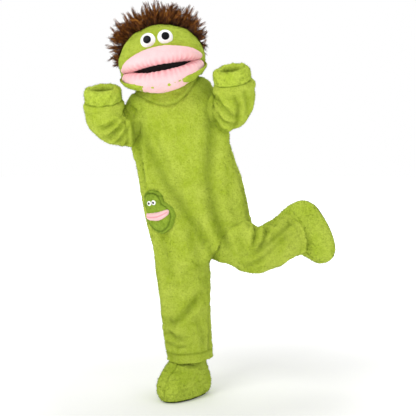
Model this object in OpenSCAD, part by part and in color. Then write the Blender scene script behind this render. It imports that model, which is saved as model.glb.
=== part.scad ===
// Wearable moving-mouth puppet: a soft suit with arms and legs, padded shoe covers
// and a foam head whose hinged jaw follows the wearer's chin.
// Row frame: origin at the middle of the wearer's pelvis, +Z up, the puppet faces -Y,
// so the puppet's left side is +X.

/* [Pose] */
// Sideways lean of the trunk
lean = 13.5; // [8:0.5:17]
// Sideways tilt of the head from upright
head_tilt = 11; // [6:0.5:14]
// Height of the floor below the pelvis
floor_drop = 785; // [760:5:880]

/* [Trunk] */
// Pelvis to the base of the neck
trunk_rise = 640; // [540:5:770]
// Half width of the trunk at the chest
chest_half = 212; // [180:2:250]
// Half width of the trunk at the hips
hip_half = 236; // [200:2:280]
// Depth of the belly in front of the middle
belly = 165; // [140:2:195]
// Depth of the back behind the middle
back = 158; // [135:2:190]
// Half width of the neck opening
neck_half = 122; // [105:1:140]
// Thickness of the padded fleece
fleece = 8; // [5:0.5:10]

/* [Zip] */
// Length of the zip in the back
zip_len = 500; // [420:5:540]
// Width of one fabric tape of the zip
zip_tape = 14; // [10:1:18]
// Width of the slot between the two back panels
zip_slot = 11; // [9:0.5:14]
// Spacing of the zip's teeth
tooth_pitch = 10; // [8:1:14]

/* [Sleeves] */
// Radius of the sleeve
sleeve_r = 83; // [66:1:88]
// Radius of the curve that the bent sleeve takes
elbow_bend = 90; // [90:1:104]
// Length of sleeve between elbow and cuff
forearm_len = 54; // [30:1:80]
// Length of the padded cuff
cuff_len = 64; // [54:1:84]
// Outer radius of the padded cuff
cuff_r = 78; // [70:1:90]
// Radius of the opening that the hand comes out of
wrist_r = 40; // [34:1:46]
// Length of the elastic throat of the cuff
throat_len = 40; // [38:1:50]

/* [Legs] */
// Radius of the leg at the knee
knee_r = 112; // [94:1:118]
// Radius of the leg at the hem
hem_r = 105; // [90:1:116]
// Height of the standing hem above the floor
hem_height = 168; // [160:2:230]
// Radius of the raised leg at the knee
raised_knee_r = 92; // [76:1:96]
// Radius of the raised leg at the hem
raised_hem_r = 102; // [84:1:112]
// Radius of the curve that the raised knee takes
knee_bend = 100; // [98:1:116]
// Length of the raised shin below the knee's curve
shin_len = 126; // [104:2:170]

/* [Shoe covers] */
// Length of a shoe cover
shoe_len = 316; // [266:2:360]
// Width of a shoe cover
shoe_w = 206; // [172:2:230]
// Height of a shoe cover up to its ankle opening
shoe_h = 178; // [150:2:190]
// Thickness of the non-slip sole
sole_t = 6; // [4:0.5:9]
// Radius of the ankle opening
ankle_r = 62; // [52:1:72]

/* [Head] */
// Half width of the foam head
head_half = 186; // [165:1:215]
// Depth of the face in front of the middle
face = 152; // [135:1:175]
// Depth of the head behind the middle
nape = 160; // [140:1:185]
// Height of the crown above the middle
crown = 160; // [140:1:185]
// Depth of the chin below the middle
chin = 150; // [140:1:165]
// Thickness of the foam
foam = 12; // [8:0.5:16]
// Thickness of the fleece over the foam
cover = 5; // [3:0.5:8]
// Base of the neck to the middle of the head
head_rise = 92; // [88:1:112]

/* [Mouth] */
// Level of the mouth below the middle of the head
mouth_drop = 24; // [18:1:30]
// Gap between the lips at rest
mouth_gap = 26; // [20:1:34]
// Height of a lip at its middle
lip_h = 88; // [72:1:96]
// Thickness of a lip at its middle
lip_t = 62; // [50:1:74]
// Thickness of the palate and jaw boards
board_t = 4; // [3:0.5:6]
// Radius of a jaw hinge pin
pin_r = 3; // [2.5:0.5:4]
// Running clearance around a hinge pin
pin_clear = 0.08; // [0.05:0.01:0.1]

/* [Eyes and hair] */
// Radius of an eye
eye_r = 33; // [27:1:38]
// Spacing of the two eyes
eye_gap = 76; // [68:1:90]
// Height of the eyes above the middle of the head
eye_rise = 92; // [82:1:104]
// Radius of a pupil
pupil_r = 17; // [13:1:20]
// Length of the hair
hair_len = 74; // [56:1:90]
// How high the hair ends at the sides
hairline = 24; // [10:1:50]

/* [Pocket] */
// Height of the plush pocket
pocket_h = 196; // [170:2:220]
// Width of the plush pocket
pocket_w = 146; // [124:2:166]

/* [Hidden] */

sides = 24;          // points round a fabric ring
$fn = 48;
seat_gap = 0.5;      // clearance between layers that lie on each other
edge_gap = 0.6;      // clearance between two panels beside a seam
green = [0.60, 0.72, 0.16];
pink = [0.96, 0.72, 0.74];

// ---------- vectors, rings and paths ----------

function unit(v) = v / norm(v);
function middle(ring) = [for (k = [0:2]) [for (p = ring) p[k]] * [for (p = ring) 1] / len(ring)];
function inset(ring, d) = let (m = middle(ring)) [for (p = ring) p + d * unit(m - p)];
function blend(a, b, k) = [for (i = [0:len(a) - 1]) a[i] * (1 - k) + b[i] * k];

// A point of the leaning trunk, in the row frame.
function leaned(p) = [p[0] * cos(lean) - p[2] * sin(lean), p[1], p[0] * sin(lean) + p[2] * cos(lean)];

// An oval ring about c, with its own depth in front of and behind the middle.
function oval(c, half, front, rear, n = sides) =
    [for (i = [0:n - 1]) let (t = 360 * i / n)
        c + [half * cos(t), (sin(t) < 0 ? front : rear) * sin(t), 0]];

// A round ring across direction d, with u towards its first point.
function ring_at(c, d, u, ru, rv) =
    let (w = cross(d, u))
    [for (i = [0:sides - 1]) let (t = 360 * i / sides) c + ru * cos(t) * u + rv * sin(t) * w];

// The first point's direction, carried along the path so that the rings don't twist.
function carried(dirs, k, u) =
    let (p = k == 0 ? u : carried(dirs, k - 1, u)) unit(p - (p * dirs[k]) * dirs[k]);

function tube_rings(path, dirs, radii, u) =
    [for (k = [0:len(path) - 1]) ring_at(path[k], dirs[k], carried(dirs, k, u), radii[k], radii[k])];

// A bent limb: straight, round a curve of radius bend, and straight again.
// Each entry is [point, direction].
function bent(start, d1, lead, d2, bend, tail, steps) =
    let (turn = acos(d1 * d2), inner = unit(d2 - (d2 * d1) * d1), hub = start + lead * d1 + bend * inner)
    concat(
        [[start, d1]],
        [for (k = [0:steps]) let (a = turn * k / steps)
            [hub + bend * (sin(a) * d1 - cos(a) * inner), cos(a) * d1 + sin(a) * inner]],
        [[hub + bend * (sin(turn) * d1 - cos(turn) * inner) + tail * d2, d2]]);
function points(bent_path) = [for (e = bent_path) e[0]];
function dirs(bent_path) = [for (e = bent_path) e[1]];
function some(list, from, to) = [for (k = [from:to]) list[k]];

// ---------- solids from rings ----------

function quads(n, row, at, wrap, flip) =
    [for (j = [0:row - 2]) for (i = [0:(wrap ? n - 1 : n - 2)])
        let (a = at + j * n + i, b = at + j * n + (i + 1) % n, c = b + n, d = a + n)
        each flip ? [[a, b, c], [a, c, d]] : [[a, d, c], [a, c, b]]];

// The wall between an outer and an inner stack of rings, open at both ends,
// or with a closed crown.
module wall(outer, inner, crowned = false) {
    m = len(outer);
    n = len(outer[0]);
    q = m * n;
    t = (m - 1) * n;
    rim = [for (i = [0:n - 1]) let (k = (i + 1) % n) each [[i, k, q + k], [i, q + k, q + i]]];
    top = crowned
        ? [[for (i = [n - 1:-1:0]) t + i], [for (i = [0:n - 1]) q + t + i]]
        : [for (i = [0:n - 1]) let (k = (i + 1) % n)
            each [[t + k, t + i, q + t + i], [t + k, q + t + i, q + t + k]]];
    polyhedron([for (r = outer) each r, for (r = inner) each r],
        concat(quads(n, m, 0, true, false), quads(n, m, q, true, true), rim, top));
}

module shell(rings, thick) {
    wall(rings, [for (r = rings) inset(r, thick)]);
}

// Rings pulled back a little at both ends, so that neighbours don't touch.
ring_gap = 0.3;
function pulled(a, b) = blend(a, b, ring_gap / norm(middle(b) - middle(a)));
function eased(rings) =
    let (m = len(rings) - 1)
    [for (k = [0:m]) k == 0 ? pulled(rings[0], rings[1]) : k == m ? pulled(rings[m], rings[m - 1]) : rings[k]];

// The part of a shell between two points of its rings.
module panel(outer, inner, from, to) {
    n = to - from + 1;
    m = len(outer);
    q = m * n;
    t = (m - 1) * n;
    function cut(r) = [for (i = [from:to]) r[i % len(r)]];
    ends = [for (i = [0:n - 2]) each [
        [i, i + 1, q + i + 1], [i, q + i + 1, q + i],
        [t + i + 1, t + i, q + t + i], [t + i + 1, q + t + i, q + t + i + 1]]];
    flanks = [for (j = [0:m - 2]) let (a = j * n, b = a + n, c = a + n - 1, d = c + n) each [
        [a, q + a, q + b], [a, q + b, b],
        [c, d, q + d], [c, q + d, q + c]]];
    polyhedron([for (r = outer) each cut(r), for (r = inner) each cut(r)],
        concat(quads(n, m, 0, false, false), quads(n, m, q, false, true), ends, flanks));
}

module lump(rings) {
    m = len(rings);
    n = len(rings[0]);
    polyhedron([for (r = rings) each r],
        concat(quads(n, m, 0, true, false),
            [[for (i = [0:n - 1]) i], [for (i = [n - 1:-1:0]) (m - 1) * n + i]]));
}

// ---------- trunk ----------

crotch_low = -90;    // level of the crotch seam
raised_rise = 128;   // how far the raised leg's opening climbs to the side
standing_rise = 20;
// height, half width, belly, back
collar_r = neck_half - 32;
trunk_table = [
    [trunk_rise * 0.27, chest_half + 14, belly - 4, back + 2],
    [trunk_rise * 0.44, chest_half + 4, belly - 10, back + 2],
    [trunk_rise * 0.66, chest_half, belly - 18, back + 2],
    [trunk_rise * 0.82, chest_half - 8, belly - 32, back + 2],
    [trunk_rise * 0.93, chest_half - 40, belly - 50, back - 30],
    [trunk_rise, neck_half - 4, belly - 66, back - 56],
    [trunk_rise + 20, collar_r, collar_r, collar_r]];
function climb(x) = crotch_low + max(x, 0) / hip_half * raised_rise + max(-x, 0) / hip_half * standing_rise;
trunk_base = [for (p = oval([0, 0, 0], hip_half, belly + 2, back + 2)) leaned([p[0], p[1], climb(p[0])])];
trunk_upper = [for (s = trunk_table) [for (p = oval([0, 0, s[0]], s[1], s[2], s[3])) leaned(p)]];
trunk_rings = concat([trunk_base, blend(trunk_base, trunk_upper[0], 0.45)], trunk_upper);
trunk_inner = [for (r = trunk_rings) inset(r, fleece)];
quarter = sides / 4;

module armholes() {
    for (side = [1, -1])
        lump([for (r = some(arm_rings(side), 0, arm_cut)) inset(r, fleece - seat_gap)]);
}

// Everything above the seam of the neck yoke, which dips at the front.
module above_yoke_seam() {
    rotate([0, -lean, 0]) translate([0, -140, trunk_rise * 0.83]) rotate([20, 0, 0])
        translate([-600, -400, 0]) cube([1200, 1200, 600]);
}

module torso_front() {
    color(green) difference() {
        panel(trunk_rings, trunk_inner, 2 * quarter, 4 * quarter);
        armholes();
        above_yoke_seam();
    }
}

module torso_back(side) {
    from = side > 0 ? 0 : quarter;
    color(green) difference() {
        panel(trunk_rings, trunk_inner, from, from + quarter);
        armholes();
        above_yoke_seam();
        rotate([0, -lean, 0]) translate([-zip_slot / 2, 0, crotch_low - 1])
            cube([zip_slot, back + belly, trunk_rise - crotch_low + 2]);
    }
}

module neck_yoke() {
    color(green) intersection() {
        wall(some(trunk_rings, 3, len(trunk_rings) - 1), some(trunk_inner, 3, len(trunk_rings) - 1));
        above_yoke_seam();
    }
}

// ---------- zip ----------

zip_top = trunk_rise * 0.82 - 8;
tooth_w = 4;
tooth_t = 2.4;
zip_y = back + 2 - fleece / 2;   // middle of the teeth, behind the pelvis
tape_t = 1.2;
slider_h = 16;

module on_back() {
    rotate([0, -lean, 0]) translate([0, zip_y, 0]) children();
}

module zip_tapes() {
    inner_y = -fleece / 2 - 4;
    color("olivedrab") on_back() for (side = [1, -1]) {
        translate([side * (zip_tape / 2 + seat_gap), inner_y, zip_top - zip_len / 2])
            cube([zip_tape, tape_t, zip_len], center = true);
    }
}

module zip_teeth() {
    web_y = -fleece / 2 - 4 + tape_t / 2;
    color("darkolivegreen") on_back() {
        for (z = [tooth_pitch : tooth_pitch : zip_len - slider_h - 12]) {
            translate([-tooth_w / 2, -tooth_t / 2, zip_top - zip_len + z - tooth_pitch / 2])
                cube([tooth_w, tooth_t, tooth_pitch * 0.6]);
        }
        translate([-0.8, web_y, zip_top - zip_len])
            cube([1.6, -web_y - tooth_t / 2 + 0.4, zip_len]);
        for (z = [0, zip_len - 4]) translate([-tooth_w / 2, -tooth_t, zip_top - zip_len + z])
            cube([tooth_w, 2 * tooth_t, 4]);
    }
}

slider_gap = 0.4;
slider_w = zip_slot - 2;
module zip_slider() {
    deep = 2 * tooth_t + 3;
    color("silver") on_back() translate([0, 0, zip_top - 6 - slider_h]) difference() {
        translate([-slider_w / 2, -deep / 2, 0]) cube([slider_w, deep + 4, slider_h]);
        translate([-tooth_w / 2 - slider_gap, -tooth_t / 2 - slider_gap, -1])
            cube([tooth_w + 2 * slider_gap, tooth_t + 2 * slider_gap, slider_h + 2]);
        translate([-0.8 - slider_gap, -deep, -1]) cube([1.6 + 2 * slider_gap, deep, slider_h + 2]);
        translate([-slider_w, deep / 2 + 2.4, slider_h / 2]) rotate([0, 90, 0])
            cylinder(r = 1.3, h = 2 * slider_w);
    }
}

module zip_pull() {
    deep = 2 * tooth_t + 3;
    color("silver") on_back() translate([0, deep / 2 + 4.4, zip_top - 6 - slider_h]) {
        translate([-slider_w / 2, 0, -22]) cube([slider_w, 1.6, 30]);
    }
}

// ---------- sleeves ----------

arm_steps = 12;
arm_cut = 5;         // ring where the upper sleeve begins
arm_mid = 6;         // ring where the elbow's fabric begins
arm_low = 11;        // ring where the lower sleeve begins
function arm_start(side) =
    leaned([side * (chest_half - 58), -14, trunk_rise * (side > 0 ? 0.745 : 0.79)]);
function arm_out(side) = unit(leaned(side > 0 ? [0.74, -0.26, -0.62] : [-0.93, -0.20, -0.30]));
function arm_up(side) = unit(leaned(side > 0 ? [0.05, -0.34, 0.94] : [0.16, -0.34, 0.93]));
function arm_path(side) =
    bent(arm_start(side), arm_out(side), side > 0 ? 14 : 34, arm_up(side), elbow_bend, forearm_len - (side > 0 ? 0 : 14), arm_steps);
function arm_rings(side) =
    let (path = arm_path(side))
    tube_rings(points(path), dirs(path), [for (e = path) sleeve_r], unit(cross([0, 1, 0], arm_out(side))));

// The sleeve starts at the trunk's outer face.
module shoulder(side) {
    color(green) difference() {
        shell(eased(some(arm_rings(side), 0, arm_cut)), fleece);
        lump([for (r = trunk_rings) inset(r, -seat_gap)]);
    }
}

module sleeve(side, from, to) {
    color(green) shell(eased(some(arm_rings(side), from, to)), fleece);
}

// Places its children with +Z along direction d at point p.
module along(p, d) {
    translate(p) rotate([0, acos(d[2]), atan2(d[1], d[0])]) children();
}

module on_wrist(side) {
    path = arm_path(side);
    along(path[len(path) - 1][0] + edge_gap * arm_up(side), arm_up(side)) children();
}

module cuff(side) {
    lip = (cuff_r - wrist_r) / 2;
    color(green) on_wrist(side) rotate_extrude() difference() {
        union() {
            translate([wrist_r, 0]) square([cuff_r - wrist_r, cuff_len - lip]);
            translate([wrist_r + lip, cuff_len - lip]) circle(r = lip);
        }
        translate([wrist_r + fleece, -1]) square([cuff_r - wrist_r - 2 * fleece, cuff_len - lip + 1]);
        translate([0, -1]) square([wrist_r + fleece + 0.01, cuff_len - throat_len + 1]);
    }
}

elastic_t = 2;
module cuff_elastic(side) {
    color("white") on_wrist(side) translate([0, 0, cuff_len - throat_len + 2]) difference() {
        cylinder(r = wrist_r + fleece + seat_gap + elastic_t, h = 16);
        translate([0, 0, -1]) cylinder(r = wrist_r + fleece + seat_gap, h = 18);
    }
}

// ---------- legs ----------

// Half of the trunk's lower edge, closed along the crotch seam.
crotch_gap = 2;
function half_ring(side) =
    [for (i = [0:sides - 1])
        let (t = 360 * i / sides, out = side * cos(t), x = side * max(crotch_gap, hip_half * out),
            y = sin(t) > 0 ? -(belly + 2) * sin(t) : -(back + 2) * sin(t))
        leaned([x, y, climb(x) - 0.4])];

standing_hip = leaned([-hip_half * 0.46, 0, crotch_low]);
hem_mid = [standing_hip[0] + 38, 4, hem_height - floor_drop];
standing_dir = unit(hem_mid - standing_hip);
leg_steps = 6;
leg_total = norm(hem_mid - standing_hip);
// share of the leg's length at each ring
leg_marks = [0.19, 0.34, 0.46, 0.60, 0.74, 0.88, 1.0];
function leg_radius(k) = k < 0.5 ? knee_r + 12 * (0.5 - k) / 0.3 : knee_r + (hem_r - knee_r) * (k - 0.5) / 0.5;
standing_rings = [for (k = leg_marks)
    ring_at(standing_hip + k * leg_total * standing_dir, standing_dir, unit(cross(standing_dir, [0, 1, 0])),
        leg_radius(k), leg_radius(k) * 1.04)];

raised_d1 = unit([0.36, -0.62, -0.70]);
raised_d2 = unit([0.70, 0.59, 0.33]);
raised_u = unit(raised_d2 - (raised_d2 * raised_d1) * raised_d1);
raised_start = leaned([hip_half * 0.55, -96, crotch_low + 24]);
raised_steps = 10;
raised_path = bent(raised_start, raised_d1, 20, raised_d2, knee_bend, shin_len, raised_steps);
raised_rings = [for (k = [0:raised_steps + 2])
    let (f = k > raised_steps + 1 ? 1 : 0, e = raised_path[k])
    ring_at(e[0], e[1], carried(dirs(raised_path), k, raised_u),
        raised_knee_r + f * (raised_hem_r - raised_knee_r), raised_knee_r * 1.22 + f * (raised_hem_r - raised_knee_r * 1.2))];

module hip_gusset(side) {
    low = side > 0 ? raised_rings[2] : standing_rings[0];
    top = half_ring(side);
    color(green) shell(eased([top, blend(top, low, 0.5), low]), fleece);
}

module leg_piece(rings, from, to) {
    color(green) shell(eased(some(rings, from, to)), fleece);
}

// ---------- shoe covers ----------

// height, half width, toe reach, heel reach, all as shares of the shoe
shoe_table = [
    [0.00, 0.90, 0.70, 0.26],
    [0.20, 1.00, 0.73, 0.29],
    [0.45, 0.98, 0.69, 0.29],
    [0.68, 0.90, 0.54, 0.27],
    [0.88, 0.72, 0.24, 0.225]];
function shoe_rings() = concat(
    [for (s = shoe_table) oval([0, 0, sole_t + s[0] * (shoe_h - sole_t)], s[1] * shoe_w / 2,
        s[2] * shoe_len, s[3] * shoe_len)],
    [oval([0, 0, shoe_h], ankle_r, ankle_r, ankle_r)]);

standing_yaw = -28;
module on_shoe(side) {
    if (side > 0) {
        last = raised_path[len(raised_path) - 1];
        down = unit([0.60, -0.16, -0.78]);
        toe = unit(down - (down * raised_d2) * raised_d2);
        up = -raised_d2;
        x = cross(-toe, up);
        ankle = last[0] + (shoe_h - 12) * last[1] - 22 * toe;
        multmatrix([[x[0], -toe[0], up[0], ankle[0]], [x[1], -toe[1], up[1], ankle[1]],
            [x[2], -toe[2], up[2], ankle[2]], [0, 0, 0, 1]]) children();
    } else {
        translate([hem_mid[0] - 8, hem_mid[1], -floor_drop]) rotate([0, 0, standing_yaw]) children();
    }
}

module shoe_upper(side) {
    color(green) on_shoe(side) shell(shoe_rings(), fleece + 2);
}

module shoe_sole(side) {
    base = shoe_table[0];
    foot = oval([0, 0, 0], base[1] * shoe_w / 2 - 2, base[2] * shoe_len - 2, base[3] * shoe_len - 2, 36);
    color([0.2, 0.2, 0.2]) on_shoe(side)
        linear_extrude(sole_t - 0.3) polygon([for (p = foot) [p[0], p[1]]]);
}

module shoe_elastic(side) {
    r = (ankle_r - fleece - 2) * cos(180 / sides) - 0.2;
    color("white") on_shoe(side) translate([0, 0, shoe_h - 11]) difference() {
        cylinder(r = r, h = 10.5);
        translate([0, 0, -1]) cylinder(r = r - elastic_t, h = 13);
    }
}

// ---------- head ----------

neck_point = leaned([0, 0, trunk_rise + 14]);
head_up = [-sin(head_tilt), 0, cos(head_tilt)];
head_mid = neck_point + (head_rise - 14) * head_up;
module in_head() {
    translate(head_mid) rotate([0, -head_tilt, 0]) children();
}

head_sides = 28;
// Rings of the head between two latitudes, grown by g from the foam's outer surface.
function head_rings(g, low, high, steps) =
    [for (k = [0:steps]) let (a = low + (high - low) * k / steps, z = (a < 0 ? chin : crown) + g)
        oval([0, 0, z * sin(a)], (head_half + g) * cos(a), (face + g) * cos(a), (nape + g) * cos(a), head_sides)];
mouth_lat = asin(-mouth_drop / chin);
front_from = head_sides / 2 + 1;
front_to = head_sides - 1;
rear_from = 0;
rear_to = head_sides / 2;
nape_lat = -32;
jaw_lat = -34;
crown_lat = 80;

module head_shell() {
    color("khaki") in_head()
        wall(head_rings(0, mouth_lat, crown_lat, 7), head_rings(-foam, mouth_lat, crown_lat, 7), true);
}

module nape_shell() {
    top = mouth_lat - 0.4;
    color("khaki") in_head()
        panel(head_rings(0, nape_lat, top, 3), head_rings(-foam, nape_lat, top, 3), rear_from, rear_to);
}

module head_cover() {
    top = mouth_lat - 0.4;
    color(green) in_head() {
        wall(head_rings(seat_gap + cover, mouth_lat, crown_lat, 7), head_rings(seat_gap, mouth_lat, crown_lat, 7), true);
        panel(head_rings(seat_gap + cover, nape_lat, top, 3), head_rings(seat_gap, nape_lat, top, 3),
            rear_from, rear_to);
    }
}

jaw_top = mouth_lat - 7;
module jaw_shell() {
    color("khaki") in_head()
        panel(head_rings(0, jaw_lat, jaw_top, 3), head_rings(-foam, jaw_lat, jaw_top, 3), front_from, front_to);
}

module jaw_cover() {
    color(green) in_head()
        panel(head_rings(seat_gap + cover, jaw_lat, jaw_top, 3), head_rings(seat_gap, jaw_lat, jaw_top, 3),
            front_from, front_to);
}

// ---------- hair ----------

cap_t = 3;
module behind_crest() {
    intersection() {
        children();
        rotate([12, 0, 0]) translate([-500, -8, -60]) cube([1000, 600, 800]);
        rotate([-48, 0, 0]) translate([-500, -600, hairline]) cube([1000, 1200, 800]);
    }
}

module hair_cap() {
    g = seat_gap + cover + seat_gap;
    color("saddlebrown") in_head() behind_crest()
        wall(head_rings(g + cap_t, mouth_lat, crown_lat, 7), head_rings(g, mouth_lat, crown_lat, 7), true);
}

module hair() {
    g = seat_gap + cover + seat_gap + cap_t + seat_gap;
    color([0.42, 0.24, 0.10]) in_head() behind_crest()
        wall([for (k = [0:7]) let (a = mouth_lat + (crown_lat - mouth_lat) * k / 7, e = 12 + (hair_len - 12) * max(0, sin(a)))
            [for (p = head_rings(g, mouth_lat, crown_lat, 7)[k])
                p + 0.7 * e * cos(a) * unit([p[0], p[1], 0]) + [0, 0, e * max(0, sin(a))]]],
            head_rings(g, mouth_lat, crown_lat, 7), true);
}

// ---------- eyes ----------

function face_y(x, z) = -(face + seat_gap + cover) * sqrt(max(0, 1 - pow(x / (head_half + cover), 2) - pow(z / (crown + cover), 2)));
eye_lean = 38;
eye_back = 20;
module on_eye(side) {
    in_head() translate([side * eye_gap / 2, face_y(eye_gap / 2 + eye_r * 0.4, eye_rise - eye_r * 0.5) + 2, eye_rise])
        rotate([90 - eye_lean * 0.3, 0, side * 8]) children();
}

// What lies inside the head's cover.
module within_cover() {
    g = cover + 2 * seat_gap;
    in_head() lump(concat(head_rings(g, jaw_lat, jaw_top, 3), head_rings(g, mouth_lat, crown_lat, 7)));
}

module eye(side) {
    color("white") difference() {
        eyeball(side);
        within_cover();
    }
}

module eyeball(side) {
    on_eye(side) difference() {
        rotate_extrude() difference() {
            intersection() {
                translate([0, -eye_back]) circle(r = norm([eye_r, eye_back]));
                square([eye_r, 60]);
            }
            translate([-1, -1]) square([1, 80]);
        }
        translate([0, 0, pupil_seat]) cylinder(r = pupil_r + 0.2, h = 40);
    }
}

pupil_seat = norm([eye_r, eye_back]) - eye_back - 7;
module pupil(side) {
    color("black") on_eye(side) translate([0, 0, pupil_seat]) cylinder(r = pupil_r, h = 9);
}

// ---------- mouth ----------

corner_x = head_half - 8;
corner_y = -30;
lip_front = -(face + 28);
lip_rings = 14;
lip_sides = 14;
// One lip: oval sections that follow the mouth from corner to corner.
function lip_section(k, up) =
    let (a = 180 * k, x = -corner_x * cos(a), y = corner_y + (lip_front - corner_y) * pow(sin(a), 0.8),
        s = pow(sin(a), 0.7), h = (4 + (lip_h / 2 - 4) * s), t = 8 + (lip_t * 0.8 - 8) * s,
        z = -mouth_drop + (up > 0 ? h + 1 - mouth_gap * 0.02 : -h - mouth_gap * pow(sin(a), 2) - 1),
        out = unit([-cos(a) * 0.9, -1.2 * sin(a) - 0.05, 0]))
    [for (i = [0:lip_sides - 1]) let (b = 360 * i / lip_sides) [x, y, z] + t * cos(b) * out + [0, 0, h * sin(b)]];

module lip(up) {
    color(pink) difference() {
        in_head() lump([for (k = [0:lip_rings]) lip_section(0.045 + 0.91 * k / lip_rings, up)]);
        within_cover();
    }
}

// ---------- mouth boards, hinge and harness ----------

pin_y = -52;
pin_z = -mouth_drop - 12;
arm_t = 4;
bracket_t = 5;
jaw_arm_x = head_half - foam - 40;
bracket_x = jaw_arm_x + arm_t + 0.6;
face_half = 96;      // half the width of the space left for the wearer's face
face_y_front = -96;
board_tail = -62;

// A board that fills the head's front at level z, grown by g, with room for the face.
module board(z, g, tail) {
    k = sqrt(1 - pow(z / chin, 2));
    difference() {
        translate([0, 0, z]) linear_extrude(board_t) intersection() {
            scale([(head_half + g) / (face + g), 1]) circle(r = (face + g) * k);
            translate([-head_half, -face - 20]) square([2 * head_half, face + 20 + tail]);
        }
        translate([-face_half, face_y_front, z - 1]) cube([2 * face_half, 200, board_t + 2]);
    }
}

palate_z = -mouth_drop + 2;
jaw_board_z = (chin - foam) * sin(jaw_top) + 0.5;
module palate_board() {
    color("dimgray") in_head() board(palate_z, -foam - 1.6, board_tail + 22);
}

module jaw_frame() {
    color("dimgray") in_head() difference() {
        union() {
            board(jaw_board_z, -3, board_tail);
            for (side = [1, -1]) translate([side > 0 ? jaw_arm_x : -jaw_arm_x - arm_t, 0, 0]) {
                translate([0, pin_y, pin_z]) rotate([0, 90, 0]) cylinder(r = pin_r + 5, h = arm_t);
                translate([0, pin_y - 22, jaw_board_z]) cube([arm_t, 22, 10]);
            }
        }
        translate([-head_half, pin_y, pin_z]) rotate([0, 90, 0]) cylinder(r = pin_r + pin_clear, h = 2 * head_half);
    }
}

// Each bracket hangs from the palate board.
module hinge_brackets() {
    top = palate_z - seat_gap;
    color("silver") in_head() for (side = [1, -1]) difference() {
        union() {
            translate([side > 0 ? bracket_x : -bracket_x - bracket_t, pin_y - 7, pin_z - 7])
                cube([bracket_t, 14, top - pin_z + 7]);
            translate([side > 0 ? bracket_x : -bracket_x - 2 * bracket_t, pin_y - 7, top - 3])
                cube([2 * bracket_t, 14, 3]);
        }
        translate([side * bracket_x - 20, pin_y, pin_z]) rotate([0, 90, 0]) cylinder(r = pin_r, h = 40);
    }
}

module hinge_pins() {
    reach = bracket_t + arm_t + 0.6 + 2;
    color("silver") in_head() for (side = [1, -1])
        translate([side > 0 ? jaw_arm_x - 1 : -jaw_arm_x + 1 - reach, pin_y, pin_z]) rotate([0, 90, 0])
            cylinder(r = pin_r, h = reach);
}

module mouth_screen() {
    low = jaw_board_z + board_t + seat_gap;
    color("black") in_head() translate([-96, face_y_front - 6, low]) cube([192, 1.5, palate_z - seat_gap - low]);
}

band_half = 84;
band_deep = 92;
band_z = 52;
band_h = 34;
pad_top = sqrt(1 - pow((band_z + 28) / (crown - foam), 2));
pad_reach = (head_half - foam) * pad_top * 0.95 - band_half - 6;
rear_reach = (nape - foam) * pad_top * 0.985 - band_deep - 20;
module head_harness() {
    color("dimgray") in_head() {
        translate([0, 14, band_z]) wall(
            [for (z = [0, band_h]) oval([0, 0, z], band_half + 4, band_deep + 4, band_deep + 4, 24)],
            [for (z = [0, band_h]) oval([0, 0, z], band_half, band_deep, band_deep, 24)]);
        for (side = [1, -1]) translate([side > 0 ? band_half + 5 : -band_half - 5 - pad_reach, -6, band_z + 2])
            cube([pad_reach, 40, 26]);
        translate([-20, 14 + band_deep + 5, band_z + 2]) cube([40, rear_reach, 26]);
    }
}

cup_r = 32;
module chin_cup() {
    color("dimgray") in_head() {
        translate([0, -61, jaw_board_z + 8]) difference() {
            sphere(r = cup_r);
            sphere(r = cup_r - 4);
            translate([-40, -40, 0]) cube([80, 80, 40]);
            translate([-40, 0, -40]) cube([80, 40, 80]);
        }
        // straps back from the board's front to the cup
        for (side = [1, -1]) translate([side * 22 - 6, face_y_front - 14, jaw_board_z - seat_gap - 2])
            cube([12, 30, 2]);
    }
}

module return_bands() {
    low = jaw_board_z + board_t + seat_gap;
    color("white") in_head() for (side = [1, -1])
        translate([side > 0 ? 112 : -113.5, face_y_front - 2, low])
            cube([1.5, 12, palate_z - seat_gap - low]);
}

// A foam collar that turns with the head inside the round neck opening.
module neck_ring() {
    r = (collar_r - fleece) * cos(180 / sides) - 0.4;
    color("khaki") rotate([0, -lean, 0]) translate([0, 0, trunk_rise + 1]) difference() {
        cylinder(r = r, h = 20);
        translate([0, 0, -1]) cylinder(r = r - 9, h = 24);
    }
}

// ---------- pocket ----------

pocket_turn = 47;
pocket_thick = 12;
pocket_room = 12;
module on_pocket() {
    x = -(hip_half - 6) * cos(pocket_turn);
    y = -(belly + 1) * sin(pocket_turn);
    rotate([0, -lean, 0]) translate([x, y, trunk_rise * 0.155]) rotate([0, 0, -34])
        rotate([90, 0, 0]) children();
}

module pocket_outline(grow) {
    r = pocket_h * 0.26 + grow;
    translate([-pocket_w * 0.10, pocket_h * 0.24]) circle(r = r);
    translate([0, -pocket_h * 0.14]) scale([(pocket_w / 2 + grow) / (pocket_h * 0.36 + grow), 1])
        circle(r = pocket_h * 0.36 + grow);
    translate([-pocket_w * 0.36, -pocket_h * 0.1]) square([pocket_w * 0.6, pocket_h * 0.3]);
}

// A layer that follows the trunk's curve, between two heights above it.
module on_trunk(low, high) {
    intersection() {
        wall([for (r = some(trunk_rings, 0, 4)) inset(r, -high)], [for (r = some(trunk_rings, 0, 4)) inset(r, -low)]);
        on_pocket() translate([0, 0, -90]) linear_extrude(200) children();
    }
}

module pocket_pouch() {
    color(green) on_trunk(seat_gap, 2.5) pocket_outline(-2);
}

module pocket_body() {
    base = 3;
    color([0.42, 0.54, 0.12]) difference() {
        on_trunk(base, base + pocket_room + pocket_thick) pocket_outline(0);
        on_trunk(base - 1, base + pocket_room) union() {
            pocket_outline(-9);
            translate([-pocket_w * 0.30, pocket_h * 0.2]) square([pocket_w * 0.4, pocket_h]);
        }
    }
}

pocket_face = 3 + pocket_room + pocket_thick + seat_gap;
module over_pocket() {
    difference() {
        on_pocket() children();
        lump([for (r = some(trunk_rings, 0, 4)) inset(r, -pocket_face)]);
    }
}

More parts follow.
